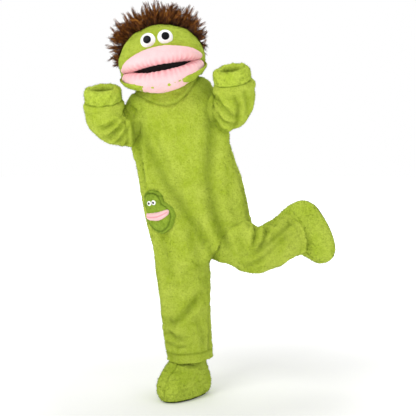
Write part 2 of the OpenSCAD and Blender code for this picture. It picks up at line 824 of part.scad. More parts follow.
module pocket_lips() {
    w = pocket_w * 0.43;
    color(pink) over_pocket() translate([0, -pocket_h * 0.10, pocket_face - 30]) lump([for (k = [-6:6])
        let (a = k / 6, r = 17 - 7 * a * a)
        [for (i = [0:11]) let (b = 30 * i) [w * a, 12 * a * a + r * cos(b), 24 + (r + 2) * sin(b)]]]);
}

module pocket_eyes() {
    color("white") over_pocket() for (side = [1, -1])
        translate([-pocket_w * 0.08 + side * 13, pocket_h * 0.22, 0]) cylinder(r = 11, h = pocket_face + 3);
}

// ---------- assembly ----------

torso_front();
torso_back(1);  // torso_back_left
torso_back(-1);  // torso_back_right
neck_yoke();
zip_tapes();
zip_teeth();
zip_slider();
zip_pull();
pocket_pouch();
pocket_body();
pocket_lips();
pocket_eyes();
shoulder(1);  // shoulder_gusset_left
sleeve(1, arm_cut, arm_mid);  // sleeve_upper_left
sleeve(1, arm_mid, arm_low);  // elbow_gusset_left
sleeve(1, arm_low, arm_steps + 2);  // sleeve_lower_left
cuff(1);  // cuff_left
cuff_elastic(1);  // cuff_elastic_left
shoulder(-1);  // shoulder_gusset_right
sleeve(-1, arm_cut, arm_mid);  // sleeve_upper_right
sleeve(-1, arm_mid, arm_low);  // elbow_gusset_right
sleeve(-1, arm_low, arm_steps + 2);  // sleeve_lower_right
cuff(-1);  // cuff_right
cuff_elastic(-1);  // cuff_elastic_right
hip_gusset(1);  // hip_gusset_left
leg_piece(raised_rings, 2, 4);  // leg_upper_left
leg_piece(raised_rings, 4, 9);  // knee_gusset_left
leg_piece(raised_rings, 9, raised_steps + 2);  // leg_lower_left
hip_gusset(-1);  // hip_gusset_right
leg_piece(standing_rings, 0, 2);  // leg_upper_right
leg_piece(standing_rings, 2, 4);  // knee_gusset_right
leg_piece(standing_rings, 4, leg_steps);  // leg_lower_right
shoe_upper(1);  // shoe_upper_left
shoe_sole(1);  // shoe_sole_left
shoe_elastic(1);  // shoe_elastic_left
shoe_upper(-1);  // shoe_upper_right
shoe_sole(-1);  // shoe_sole_right
shoe_elastic(-1);  // shoe_elastic_right
neck_ring();
head_shell();
nape_shell();
head_cover();
hair_cap();
hair();
eye(1);  // eye_left
eye(-1);  // eye_right
pupil(1);  // pupil_left
pupil(-1);  // pupil_right
lip(1);  // upper_lip
palate_board();
mouth_screen();
hinge_brackets();
hinge_pins();
head_harness();
jaw_shell();
jaw_cover();
jaw_frame();
lip(-1);  // lower_lip
chin_cup();
return_bands();
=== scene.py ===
import math

import bpy
import numpy as np
from mathutils import Matrix, Vector
from mathutils.bvhtree import BVHTree


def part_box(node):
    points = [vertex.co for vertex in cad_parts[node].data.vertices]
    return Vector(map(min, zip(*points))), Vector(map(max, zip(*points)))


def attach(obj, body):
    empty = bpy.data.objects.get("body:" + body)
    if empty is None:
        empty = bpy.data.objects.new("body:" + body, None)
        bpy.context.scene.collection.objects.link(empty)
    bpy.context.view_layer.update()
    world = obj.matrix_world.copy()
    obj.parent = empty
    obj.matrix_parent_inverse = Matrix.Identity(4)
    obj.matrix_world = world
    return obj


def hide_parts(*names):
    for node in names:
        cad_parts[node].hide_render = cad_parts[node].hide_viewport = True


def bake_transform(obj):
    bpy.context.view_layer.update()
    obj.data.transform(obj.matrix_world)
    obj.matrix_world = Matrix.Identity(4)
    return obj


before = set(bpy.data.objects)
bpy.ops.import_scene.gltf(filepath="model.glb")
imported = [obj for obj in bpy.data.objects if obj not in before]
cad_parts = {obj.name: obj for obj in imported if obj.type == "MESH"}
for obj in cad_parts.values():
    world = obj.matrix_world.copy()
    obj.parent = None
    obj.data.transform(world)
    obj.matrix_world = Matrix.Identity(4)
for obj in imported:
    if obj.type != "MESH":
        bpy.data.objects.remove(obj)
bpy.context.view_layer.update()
rng = np.random.default_rng(7)

# ---------- camera, floor and light ----------

camera_data = bpy.data.cameras.new("camera")
camera = bpy.data.objects.new("camera", camera_data)
bpy.context.scene.collection.objects.link(camera)
camera.location = (0.036, -4.1, 0.400)
camera.rotation_euler = (Vector((0.036, 0, 0.063)) - camera.location).to_track_quat("-Z", "Y").to_euler()
camera_data.sensor_fit = "HORIZONTAL"
camera_data.angle = math.radians(25.65)
bpy.context.scene.camera = camera
bpy.context.scene.view_settings.view_transform = "Standard"

world = bpy.data.worlds.new("studio")
bpy.context.scene.world = world
world.use_nodes = True
wn, wl = world.node_tree.nodes, world.node_tree.links
wn.clear()
sky, plain, pick, path, out = (wn.new("ShaderNodeBackground"), wn.new("ShaderNodeBackground"),
    wn.new("ShaderNodeMixShader"), wn.new("ShaderNodeLightPath"), wn.new("ShaderNodeOutputWorld"))
sky.inputs[0].default_value = (1, 1, 1, 1)
sky.inputs[1].default_value = 0.62
plain.inputs[0].default_value = (1, 1, 1, 1)
plain.inputs[1].default_value = 1.0
wl.new(path.outputs["Is Camera Ray"], pick.inputs[0])
wl.new(sky.outputs[0], pick.inputs[1])
wl.new(plain.outputs[0], pick.inputs[2])
wl.new(pick.outputs[0], out.inputs[0])


def area_light(name, place, aim, size, power):
    data = bpy.data.lights.new(name, "AREA")
    data.shape = "SQUARE"
    data.size = size
    data.energy = power
    lamp = bpy.data.objects.new(name, data)
    bpy.context.scene.collection.objects.link(lamp)
    lamp.location = place
    lamp.rotation_euler = (Vector(aim) - Vector(place)).to_track_quat("-Z", "Y").to_euler()


area_light("key", (-1.9, -2.6, 2.7), (0, 0, 0.1), 1.9, 62)
area_light("fill", (2.6, -2.6, 0.9), (0, 0, 0), 2.2, 14)
area_light("top", (0.3, 0.9, 3.2), (0, 0, 0.2), 1.6, 30)


# ---------- materials ----------

def graph(name):
    mat = bpy.data.materials.new(name)
    mat.use_nodes = True
    nodes, links = mat.node_tree.nodes, mat.node_tree.links
    shader = nodes["Principled BSDF"]
    coords = nodes.new("ShaderNodeTexCoord")
    return mat, nodes, links, shader, coords


def noise(nodes, links, coords, scale, detail=3.0, rough=0.6, squash=None):
    n = nodes.new("ShaderNodeTexNoise")
    n.inputs["Scale"].default_value = scale
    n.inputs["Detail"].default_value = detail
    n.inputs["Roughness"].default_value = rough
    if squash is None:
        links.new(coords.outputs["Object"], n.inputs["Vector"])
    else:
        m = nodes.new("ShaderNodeMapping")
        m.inputs["Scale"].default_value = squash
        links.new(coords.outputs["Object"], m.inputs["Vector"])
        links.new(m.outputs[0], n.inputs["Vector"])
    return n.outputs["Fac"]


def ramp(nodes, links, fac, stops):
    r = nodes.new("ShaderNodeValToRGB")
    while len(r.color_ramp.elements) < len(stops):
        r.color_ramp.elements.new(0.5)
    for e, (at, colour) in zip(r.color_ramp.elements, stops):
        e.position = at
        e.color = (*colour, 1)
    links.new(fac, r.inputs[0])
    return r.outputs[0]


def mixed(nodes, links, fac, a, b, mode="MIX"):
    m = nodes.new("ShaderNodeMix")
    m.data_type = "RGBA"
    m.blend_type = mode
    for socket, value in ((m.inputs[0], fac), (m.inputs[6], a), (m.inputs[7], b)):
        if isinstance(value, (int, float)):
            socket.default_value = value
        elif isinstance(value, tuple):
            socket.default_value = (*value, 1)
        else:
            links.new(value, socket)
    return m.outputs[2]


def bumped(nodes, links, shader, layers):
    last = None
    for height, strength, distance in layers:
        b = nodes.new("ShaderNodeBump")
        b.inputs["Strength"].default_value = strength
        b.inputs["Distance"].default_value = distance
        links.new(height, b.inputs["Height"])
        if last is not None:
            links.new(last, b.inputs["Normal"])
        last = b.outputs[0]
    links.new(last, shader.inputs["Normal"])


def linear(r, g, b):
    return tuple(((v / 255 + 0.055) / 1.055) ** 2.4 if v > 10 else v / 255 / 12.92 for v in (r, g, b))


def fleece(name, low, mid, high, crease_shade, sheen=0.30, pile=170, nap=0.0030):
    """Brushed pile: soft mottling, brushed patches, a tufted bump, and painted shade that darkens the folds and
    grooves.
    """
    mat, nodes, links, shader, coords = graph(name)
    soft = noise(nodes, links, coords, 11, 3)
    brushed = noise(nodes, links, coords, 46, 4, 0.65, (1, 1, 0.55))
    fine = noise(nodes, links, coords, pile, 2, 0.7)
    base = ramp(nodes, links, soft, [(0.34, mid), (0.66, high)])
    base = mixed(nodes, links, ramp(nodes, links, brushed, [(0.42, (0, 0, 0)), (0.64, (0.55, 0.55, 0.55))]), base, high)
    base = mixed(nodes, links, ramp(nodes, links, fine, [(0.36, (0.42, 0.42, 0.42)), (0.56, (0, 0, 0))]), base, low)
    # Painted shade: a point attribute mixes the darker colour for creases in at folds, seams and grooves.
    painted_shade = nodes.new("ShaderNodeAttribute")
    painted_shade.attribute_name = "painted_shade"
    base = mixed(nodes, links, painted_shade.outputs["Fac"], base, crease_shade)
    links.new(base, shader.inputs["Base Color"])
    shader.inputs["Roughness"].default_value = 0.95
    shader.inputs["Specular IOR Level"].default_value = 0.15
    shader.inputs["Sheen Weight"].default_value = sheen
    shader.inputs["Sheen Roughness"].default_value = 0.55
    shader.inputs["Sheen Tint"].default_value = (*high, 1)
    tuft = nodes.new("ShaderNodeTexVoronoi")
    tuft.inputs["Scale"].default_value = pile * 0.55
    links.new(coords.outputs["Object"], tuft.inputs["Vector"])
    bumped(nodes, links, shader, [(brushed, 0.45, 0.004), (fine, 0.8, nap), (tuft.outputs["Distance"], 0.5, nap)])
    return mat


def plain_stuff(name, colour, rough, scale, vary, metallic=0.0, bump=0.3, distance=0.0006, coat=0.0, squash=None,
        shine=0.5):
    mat, nodes, links, shader, coords = graph(name)
    n = noise(nodes, links, coords, scale, 4, 0.6, squash)
    dark = tuple(c * (1 - vary) for c in colour)
    light = tuple(min(1, c * (1 + vary)) for c in colour)
    links.new(ramp(nodes, links, n, [(0.3, dark), (0.7, light)]), shader.inputs["Base Color"])
    shader.inputs["Roughness"].default_value = rough
    shader.inputs["Metallic"].default_value = metallic
    shader.inputs["Coat Weight"].default_value = coat
    shader.inputs["Coat Roughness"].default_value = 0.08
    shader.inputs["Specular IOR Level"].default_value = shine
    bumped(nodes, links, shader, [(n, bump, distance)])
    return mat


def woven(name, colour, pitch, rough=0.7, depth=0.0008, holes=False):
    """Crossed threads at the given pitch in metres."""
    mat, nodes, links, shader, coords = graph(name)
    waves = []
    for direction in ("X", "Z"):
        w = nodes.new("ShaderNodeTexWave")
        w.bands_direction = direction
        w.inputs["Scale"].default_value = 0.314 / pitch
        w.inputs["Distortion"].default_value = 0.3
        links.new(coords.outputs["Object"], w.inputs["Vector"])
        waves.append(w.outputs["Fac"])
    m = nodes.new("ShaderNodeMath")
    m.operation = "MULTIPLY" if holes else "MAXIMUM"
    links.new(waves[0], m.inputs[0])
    links.new(waves[1], m.inputs[1])
    dark = tuple(c * (0.25 if holes else 0.7) for c in colour)
    links.new(ramp(nodes, links, m.outputs[0], [(0.2, dark), (0.8, colour)]), shader.inputs["Base Color"])
    shader.inputs["Roughness"].default_value = rough
    bumped(nodes, links, shader, [(m.outputs[0], 0.6, depth)])
    return mat


# The fourth colour of each fleece is its painted shade colour for folds, seams and grooves.
LIME = fleece("fleece_lime", linear(128, 147, 24), linear(163, 183, 50), linear(186, 202, 78), linear(98, 118, 13))
SHOE_LIME = fleece("fleece_shoe", linear(130, 152, 26), linear(168, 190, 52), linear(192, 210, 80),
    linear(100, 120, 12), 0.34, 150, 0.0034)
PATCH = fleece("plush_dark_green", linear(98, 126, 24), linear(130, 158, 42), linear(152, 178, 60), linear(76, 100, 16),
    0.25, 220, 0.0022)
LIP = fleece("lip_fabric", linear(234, 176, 178), linear(242, 192, 194), linear(248, 206, 207), linear(222, 136, 146),
    0.15, 420, 0.0006)
CAP = fleece("hair_cap_fabric", linear(36, 18, 6), linear(60, 32, 10), linear(84, 48, 18), linear(24, 10, 3), 0.1, 420)
WHITE = plain_stuff("eye_white", linear(250, 250, 248), 0.22, 30, 0.02, coat=0.5, bump=0.05)
BLACK = plain_stuff("pupil_black", (0.005, 0.005, 0.006), 0.35, 60, 0.3, bump=0.05, shine=0.12)
FOAM = plain_stuff("foam", linear(226, 208, 160), 0.9, 420, 0.14, bump=0.7, distance=0.0014)
BOARD = plain_stuff("board", linear(60, 58, 56), 0.75, 120, 0.2, bump=0.3)
STEEL = plain_stuff("steel", (0.55, 0.56, 0.58), 0.3, 240, 0.12, metallic=1.0, bump=0.15, squash=(1, 1, 0.1))
ZIP_METAL = plain_stuff("zip_metal", (0.45, 0.42, 0.36), 0.32, 300, 0.2, metallic=1.0, bump=0.2)
ZIP_COIL = plain_stuff("zip_coil", linear(118, 140, 40), 0.45, 500, 0.2, bump=0.4)
SOLE = plain_stuff("sole_rubber", (0.018, 0.018, 0.017), 0.8, 180, 0.4, bump=0.8, distance=0.0012)
ELASTIC = woven("elastic", linear(226, 226, 220), 0.0014)
HARNESS = woven("harness_webbing", linear(44, 44, 46), 0.0018)
ZIP_TAPE = woven("zip_tape", linear(118, 146, 40), 0.0011)
MESH = woven("mouth_mesh", (0.010, 0.009, 0.009), 0.0022, 0.85, 0.0008, True)
NODE_STUFF = {
    "FOAM": (FOAM, ["head_shell", "nape_shell", "jaw_shell"]),
    "BOARD": (BOARD, ["palate_board", "jaw_frame"]),
    "STEEL": (STEEL, ["hinge_brackets", "hinge_pins"]),
    "ZIP_METAL": (ZIP_METAL, ["zip_slider", "zip_pull"]),
    "ZIP_COIL": (ZIP_COIL, ["zip_teeth"]),
    "ZIP_TAPE": (ZIP_TAPE, ["zip_tapes"]),
    "ELASTIC": (ELASTIC, ["cuff_elastic_left", "cuff_elastic_right", "shoe_elastic_left", "shoe_elastic_right",
        "return_bands"]),
    "HARNESS": (HARNESS, ["head_harness", "chin_cup"]),
    "MESH": (MESH, ["mouth_screen"])}
for stuff, nodes_of in NODE_STUFF.values():
    for n in nodes_of:
        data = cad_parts[n].data
        for k in range(max(1, len(data.materials))):
            if k < len(data.materials):
                data.materials[k] = stuff
            else:
                data.materials.append(stuff)

# ---------- the suit's own measures, in millimetres ----------

LEAN, TILT = math.radians(13.5), math.radians(11)
COLS = 192


def turned(p, angle):
    p = np.asarray(p, float)
    c, s = math.cos(angle), math.sin(angle)
    return np.stack([p[..., 0] * c - p[..., 2] * s, p[..., 1], p[..., 0] * s + p[..., 2] * c], -1)


def leaned(p):
    return turned(p, LEAN)


def upright(p):
    return turned(p, -LEAN)


def unit(v):
    v = np.asarray(v, float)
    return v / np.maximum(np.linalg.norm(v, axis=-1, keepdims=True), 1e-12)


HEAD_MID = leaned([0, 0, 654.0]) + 78 * np.array([-math.sin(TILT), 0, math.cos(TILT)])


def in_head(p):
    return HEAD_MID + turned(p, TILT)


def angles(n):
    return np.arange(n) * 2 * math.pi / n


def oval(c, half, front, rear, n=COLS):
    t = angles(n)
    return np.asarray(c, float) + np.stack(
        [half * np.cos(t), np.where(np.sin(t) < 0, front, rear) * np.sin(t), 0 * t], -1)


def ring_at(c, d, u, ru, rv, n=COLS):
    w, t = np.cross(d, u), angles(n)[:, None]
    return np.asarray(c, float) + ru * np.cos(t) * u + rv * np.sin(t) * w


def carried(dirs, u):
    found = []
    for d in dirs:
        u = unit(u - np.dot(u, d) * d)
        found.append(u)
    return found


def bent(start, d1, lead, d2, bend, tail, steps):
    turn = math.acos(float(np.dot(d1, d2)))
    inner = unit(d2 - np.dot(d2, d1) * d1)
    hub = start + lead * d1 + bend * inner
    arc = [(hub + bend * (math.sin(a) * d1 - math.cos(a) * inner), math.cos(a) * d1 + math.sin(a) * inner)
        for a in np.linspace(0, turn, steps + 1)]
    return [(start, d1)] + arc + [(arc[-1][0] + tail * d2, d2)], inner


def between(rings, step):
    """Rows on a smooth curve through each ring, about a step apart. Returns the rows and each ring's row."""
    R = np.array(rings, float)
    gaps = np.linalg.norm(np.diff(R.mean(1), axis=0), axis=1)
    h = np.maximum(gaps, 4.0)
    d = np.diff(R, axis=0) / h[:, None, None]
    m = np.concatenate([d[:1], d[1:], d[-1:]])
    for i in range(1, len(R) - 1):
        m[i] = (d[i - 1] * h[i] + d[i] * h[i - 1]) / (h[i - 1] + h[i])
    rows, marks = [], [0]
    for i in range(len(R) - 1):
        count = max(1, round(np.linalg.norm(R[i + 1] - R[i], axis=1).mean() / step))
        for t in np.arange(count) / count:
            rows.append((2 * t**3 - 3 * t**2 + 1) * R[i] + (t**3 - 2 * t**2 + t) * h[i] * m[i]
                + (3 * t**2 - 2 * t**3) * R[i + 1] + (t**3 - t**2) * h[i] * m[i + 1])
        marks.append(marks[-1] + count)
    rows.append(R[-1])
    return np.array(rows), marks


# ---------- surfaces, with shared normals and folds ----------

def grid_faces(rows, cols, wrap):
    r = np.arange(rows - 1)[:, None]
    c = np.arange(cols if wrap else cols - 1)[None, :]
    n = (c + 1) % cols
    return np.stack([r * cols + c, r * cols + n, (r + 1) * cols + n, (r + 1) * cols + c], -1).reshape(-1, 4)


def shared_normals(pieces):
    """Vertex normals of several pieces together, so that no seam shows where they meet."""
    spots = np.concatenate([p["v"] for p in pieces])
    _, where = np.unique(np.round(spots * 50).astype(np.int64), axis=0, return_inverse=True)
    where = where.reshape(-1)
    total = np.zeros((where.max() + 1, 3))
    at = 0
    for p in pieces:
        v, f = p["v"], p["f"]
        n = np.cross(v[f[:, 2]] - v[f[:, 0]], v[f[:, 3]] - v[f[:, 1]])
        for k in range(4):
            np.add.at(total, where[at + f[:, k]], n)
        at += len(v)
    total = unit(total)
    at = 0
    for p in pieces:
        p["n"] = total[where[at:at + len(p["v"])]]
        at += len(p["v"])


def waves(p, size, seed, count=7):
    """A smooth wandering value between about -1 and 1, the same for the same place."""
    r = np.random.default_rng(seed)
    k = unit(r.normal(size=(count, 3))) * (2 * math.pi / size) * r.uniform(0.6, 1.5, (count, 1))
    return np.sin(p @ k.T + r.uniform(0, 6.28, count)).sum(1) / math.sqrt(count)


def seen_flat(p):
    """Where a point appears on the upright plane through the origin, in metres."""
    k = 4100 / (4100 + p[:, 1])
    return np.stack([36 + (p[:, 0] - 36) * k, 400 + (p[:, 2] - 400) * k], -1) / 1000


def off_line(q, line):
    best = np.full(len(q), 9.0)
    line = np.asarray(line, float)
    for a, b in zip(line[:-1], line[1:]):
        t = np.clip(((q - a) @ (b - a)) / max(1e-9, (b - a) @ (b - a)), 0, 1)
        best = np.minimum(best, np.linalg.norm(q - a - t[:, None] * (b - a), axis=1))
    return best


# Folds seen from the front: points (x, z) in metres, width and depth in metres.
FOLDS = [
    ([(-.300, .500), (-.283, .36), (-.262, .25), (-.244, .17)], .014, .009),
    ([(-.290, .47), (-.225, .31), (-.150, .17), (-.085, .07), (-.02, -.03), (.036, -.126)], .034, .013),
    ([(-.21, .42), (-.15, .27), (-.09, .16)], .022, .005),
    ([(.060, .50), (.052, .36), (.040, .20), (.062, .06), (.100, -.06), (.130, -.14)], .028, .011),
    ([(.150, .36), (.190, .22), (.220, .08), (.236, -.01)], .020, .009),
    ([(.176, .35), (.212, .22), (.247, .08)], .009, .007),
    ([(.030, -.10), (.058, -.155), (.070, -.175)], .013, .012),
    ([(.066, -.19), (.055, -.30), (.046, -.42), (.042, -.59)], .006, .006),
    ([(-.06, -.02), (-.02, -.14), (.010, -.24)], .030, .007),
    ([(-.19, -.03), (-.150, -.16), (-.13, -.27)], .026, .005),
    ([(-.160, -.455), (-.120, -.462), (-.06, -.415), (0, -.335)], .018, .010),
    ([(-.155, -.500), (-.115, -.532), (-.070, -.540)], .013, .009),
    ([(-.145, -.56), (-.10, -.578), (-.05, -.565)], .010, .005),
    ([(-.02, -.44), (.01, -.50), (.02, -.57)], .016, .005),
    ([(.263, .030), (.250, -.05), (.240, -.12)], .010, .013),
    ([(.276, .028), (.302, -.040), (.285, -.09), (.262, -.122)], .010, .012),
    ([(.292, .034), (.325, .006), (.345, -.02)], .010, .008),
    ([(.318, .040), (.345, .028)], .008, .006),
    ([(.420, .004), (.360, -.055), (.300, -.105), (.225, -.150)], .015, .010),
    ([(.405, -.050), (.345, -.105), (.280, -.165), (.22, -.20)], .014, .008),
    ([(.170, -.05), (.190, -.13), (.20, -.18)], .022, .006),
    ([(-.452, .42), (-.415, .425), (-.380, .450)], .010, .010),
    ([(-.420, .375), (-.385, .395), (-.345, .440)], .011, .011),
    ([(-.375, .345), (-.350, .375), (-.330, .425)], .009, .010),
    ([(-.340, .325), (-.327, .370), (-.325, .43)], .008, .009),
    ([(.072, .560), (.098, .520), (.130, .485), (.160, .470)], .010, .012),
    ([(.078, .480), (.110, .452), (.150, .440)], .009, .011),
    ([(.150, .560), (.172, .520), (.165, .455), (.145, .40)], .011, .010),
    ([(.195, .59), (.212, .55), (.215, .50)], .010, .006)]


def fold_field(v, n):
    """How far fabric moves along its normal: named folds, and slow swells that run down the cloth. Also how much
    painted shade each point gets: along the valleys of the folds, and along slow ridges on the side facing away.
    """
    q = seen_flat(v)
    facing = np.clip(-n[:, 1] * 2.2, 0, 1)
    move, dark = np.zeros(len(v)), np.zeros(len(v))
    for line, wide, deep in FOLDS:
        d = off_line(q, line) / wide
        ends = np.minimum(1, np.minimum(np.linalg.norm(q - np.array(line[0]), axis=1),
            np.linalg.norm(q - np.array(line[-1]), axis=1)) / (wide * 1.6) + 0.15)
        move += 1000 * deep * ends * facing * (-np.exp(-d**2) + 0.62 * np.exp(-((d - 1.9) / 0.9) ** 2))
        # Painted shade along the valleys of the folds, stronger for deeper folds.
        dark = np.maximum(dark, ends * facing * np.exp(-(d * 1.25) ** 2) * min(1, deep / .011))
    slow = v * np.array([1, 1, 0.33])
    move += 3.4 * waves(slow, 120, 3) + 1.5 * waves(v, 55, 4) + 0.55 * waves(v, 17, 5)
    away = np.clip(n[:, 1] * 1.6, 0, 1)
    ridge = waves(slow, 95, 9)
    move += away * 5.0 * (0.5 - np.abs(ridge))
    # Painted shade along the slow ridges on the side that faces away from the camera.
    dark = np.maximum(dark, away * 0.5 * np.clip(1 - np.abs(ridge) * 5, 0, 1))
    return move, dark


def piled(v, f, n, dark, length, spacing):
    """The same surface with short fibres standing on it, about one for each spacing squared."""
    r = np.random.default_rng(len(v) + 11)
    a, b, c, d = (v[f[:, k]] for k in range(4))
    area = np.linalg.norm(np.cross(c - a, d - b), axis=1) / 2
    count = int(area.sum() / spacing**2)
    face = r.choice(len(f), count, p=area / area.sum())
    s, t = r.random((2, count, 1))
    corner = f[face]
    root = (a[face] * (1 - s) + b[face] * s) * (1 - t) + (d[face] * (1 - s) + c[face] * s) * t
    up = unit(n[corner].mean(1))
    aim = unit(up + r.normal(0, 0.42, (count, 3)) + np.array([0, 0, -0.22]))
    across = unit(np.cross(aim, r.normal(size=(count, 3)))) * 0.75
    tip = root + aim * (length * r.uniform(0.6, 1.25, (count, 1)))
    more = np.stack([root - across - up * 0.5, root + across - up * 0.5, tip], 1).reshape(-1, 3)
    more[:, 2] = np.maximum(more[:, 2], -784.6)
    at = len(v) + np.arange(count)[:, None] * 3 + np.arange(3)
    # Each fibre takes the painted shade of the face it stands on.
    shade = dark[corner].mean(1)
    return (np.concatenate([v, more]), [tuple(map(int, q)) for q in f] + [tuple(map(int, q)) for q in at],
        np.concatenate([n, np.repeat(up, 3, 0)]), np.concatenate([dark, np.repeat(shade, 3)]))


def build(name, v, f, mat, n=None, dark=None, to=0.001, pile=None):
    if pile is not None:
        v, f, n, dark = piled(np.asarray(v), np.asarray(f), n, np.zeros(len(v)) if dark is None else np.asarray(dark), *pile)
    mesh = bpy.data.meshes.new(name)
    mesh.from_pydata((np.asarray(v) * to).tolist(), [], [tuple(int(i) for i in q) for q in f])
    mesh.polygons.foreach_set("use_smooth", [True] * len(mesh.polygons))
    mesh.materials.append(mat)
    # The dark values are painted shade, stored on the points for the materials to mix in.
    painted_shade = mesh.attributes.new("painted_shade", "FLOAT", "POINT")
    painted_shade.data.foreach_set("value", np.asarray(dark if dark is not None else np.zeros(len(v)), np.float32))
    mesh.update()
    if n is not None:
        mesh.normals_split_custom_set_from_vertices([tuple(x) for x in n])
    obj = bpy.data.objects.new(name, mesh)
    bpy.context.scene.collection.objects.link(obj)
    return obj


def piece(name, rows, wrap, **more):
    rows = np.asarray(rows)
    return {"name": name, "v": rows.reshape(-1, 3).copy(), "f": grid_faces(rows.shape[0], rows.shape[1], wrap),
        "dark": np.zeros(rows.shape[0] * rows.shape[1]), **more}


# Trunk: rings from the crotch to the collar.
TRUNK = [(172.8, 226, 161, 160), (281.6, 216, 155, 160), (422.4, 212, 147, 160), (524.8, 204, 133, 160),
    (595.2, 172, 115, 128), (640, 118, 99, 102), (660, 90, 90, 90)]


def climb(x):
    return -90 + np.maximum(x, 0) / 236 * 128 + np.maximum(-x, 0) / 236 * 20


base = oval([0, 0, 0], 236, 167, 160)
base[:, 2] = climb(base[:, 0])
upper = [oval([0, 0, z], a, b, c) for z, a, b, c in TRUNK]
trunk, _ = between([leaned(r) for r in [base, base * 0.55 + upper[0] * 0.45] + upper], 7.0)


def seam_height(p):
    """Height above the yoke's seam, which dips at the front and runs up over the shoulders."""
    q = upright(p)
    rise = 0.364 * (q[..., 1] + 140) + 0.0042 * q[..., 0] ** 2
    return q[..., 2] - 531.2 - 108 * np.tanh(rise / 108)


heights = seam_height(trunk)
seam_row = np.empty(COLS)
for c in range(COLS):
    r = np.nonzero(heights[:, c] > 0)[0][0]
    a, b = heights[r - 1, c], heights[r, c]
    seam_row[c] = r - 1 + (0 - a) / (b - a)


def resampled(low, high, count):
    out_rows = np.empty((count + 1, COLS, 3))
    for j in range(count + 1):
        at = np.clip(low + (high - low) * j / count, 0, len(trunk) - 1 - 1e-9)
        k = at.astype(int)
        part = (at - k)[:, None]
        out_rows[j] = trunk[k, np.arange(COLS)] * (1 - part) + trunk[np.minimum(k + 1, len(trunk) - 1), np.arange(COLS)] * part
    return out_rows


below = resampled(np.zeros(COLS), seam_row, 96)
yoke = resampled(seam_row, np.full(COLS, len(trunk) - 1.0), 22)
half, quarter = COLS // 2, COLS // 4
front = below[:, [*range(half, COLS), 0]]
back_left = below[:, :quarter + 1].copy()
back_right = below[:, quarter:half + 1].copy()
for part, side, edge in ((back_left, 1, -1), (back_right, -1, 0)):
    q = upright(part[:, edge])
    zipped = np.clip((q[:, 2] - 6) / 14, 0, 1) * np.clip((545 - q[:, 2]) / 18, 0, 1)
    q[:, 0] = side * 5.4 * zipped
    part[:, edge] = leaned(q)
suit = [piece("torso_front", front, False), piece("torso_back_left", back_left, False),
    piece("torso_back_right", back_right, False), piece("neck_yoke", yoke, True)]


# Legs: from the trunk's lower edge, so that trunk and leg are one surface.
def half_ring(side):
    """Half of the trunk's lower edge, closed along the crotch seam that both legs share."""
    t = angles(COLS)
    x = side * np.maximum(0, 236 * side * np.cos(t))
    x[np.abs(x) < 1e-6] = 0
    y = np.where(np.sin(t) > 0, -167 * np.sin(t), -160 * np.sin(t))
    return leaned(np.stack([x, y, climb(x)], -1))



hip = leaned([-108.56, 0, -90])
hem_mid = np.array([hip[0] + 38, 4, -617])
leg_dir, leg_len = unit(hem_mid - hip), np.linalg.norm(hem_mid - hip)


def leg_radius(k):
    return 112 + 12 * (0.5 - k) / 0.3 if k < 0.5 else 112 - 7 * (k - 0.5) / 0.5


standing = [ring_at(hip + k * leg_len * leg_dir, leg_dir, unit(np.cross(leg_dir, [0, 1, 0])),
    leg_radius(k), leg_radius(k) * 1.04) for k in (.19, .34, .46, .60, .74, .88, 1.0)]
d1, d2 = unit([.36, -.62, -.70]), unit([.70, .59, .33])
raised_path, _ = bent(leaned([129.8, -96, -66]), d1, 20, d2, 100, 126, 10)
raised_u = carried([e[1] for e in raised_path], unit(d2 - np.dot(d2, d1) * d1))
raised = [ring_at(e[0], e[1], raised_u[k], 102 if k == 12 else 92, 103.8 if k == 12 else 112.2)
    for k, e in enumerate(raised_path)]


def rolled_hem(rings, inward, deep):
    """The hem turns in round a soft edge and runs back inside."""
    last, ahead = rings[-1], unit(rings[-1].mean(0) - rings[-2].mean(0))
    mid = last.mean(0)
    out_dir = unit(last - mid)
    return [last + out_dir * r + ahead * z for r, z in
        ((0.6, 2.5), (-0.6, 5), (-3.5, 6.5), (-6.5, 5.5), (-8.5, 2), (-inward, -6), (-inward, -deep * 0.5), (-inward, -deep))]


def wrinkled(rows, marks, inner, first, last, deep, pitch):
    """Crush folds on the inside of a bend, between two of its rings, with painted shade in their valleys."""
    mids = rows.mean(1)
    run = np.concatenate([[0], np.cumsum(np.linalg.norm(np.diff(mids, axis=0), axis=1))])
    a, b = run[marks[first]], run[marks[last]]
    inside = np.clip((run - a) / 25, 0, 1) * np.clip((b - run) / 25, 0, 1)
    out_dir = unit(rows - mids[:, None])
    towards = np.clip(out_dir @ inner, 0, 1) ** 1.4
    wander = waves(rows.reshape(-1, 3), 110, 21).reshape(rows.shape[:2])
    phase = run[:, None] / pitch * 2 * math.pi + wander * 1.3
    push = inside[:, None] * towards * deep * np.cos(phase)
    # Painted shade in the valleys of the crush folds.
    dark = inside[:, None] * towards * np.clip(-np.cos(phase) - 0.35, 0, 1)
    return rows + out_dir * push[..., None], dark


def hem_seam(rows, marks, ring, back):
    """A stitched line round the leg, a little above the hem, with painted shade in its groove."""
    mids = rows.mean(1)
    run = np.concatenate([[0], np.cumsum(np.linalg.norm(np.diff(mids, axis=0), axis=1))])
    d = np.abs(run - (run[marks[ring]] - back))
    groove = np.exp(-(d / 3.2) ** 2) * (np.arange(len(run)) < marks[ring])
    puff = np.exp(-((d - 8) / 6) ** 2) * (np.arange(len(run)) < marks[ring])
    return rows + unit(rows - mids[:, None]) * (-3.2 * groove + 1.2 * puff)[:, None, None], groove * 0.8


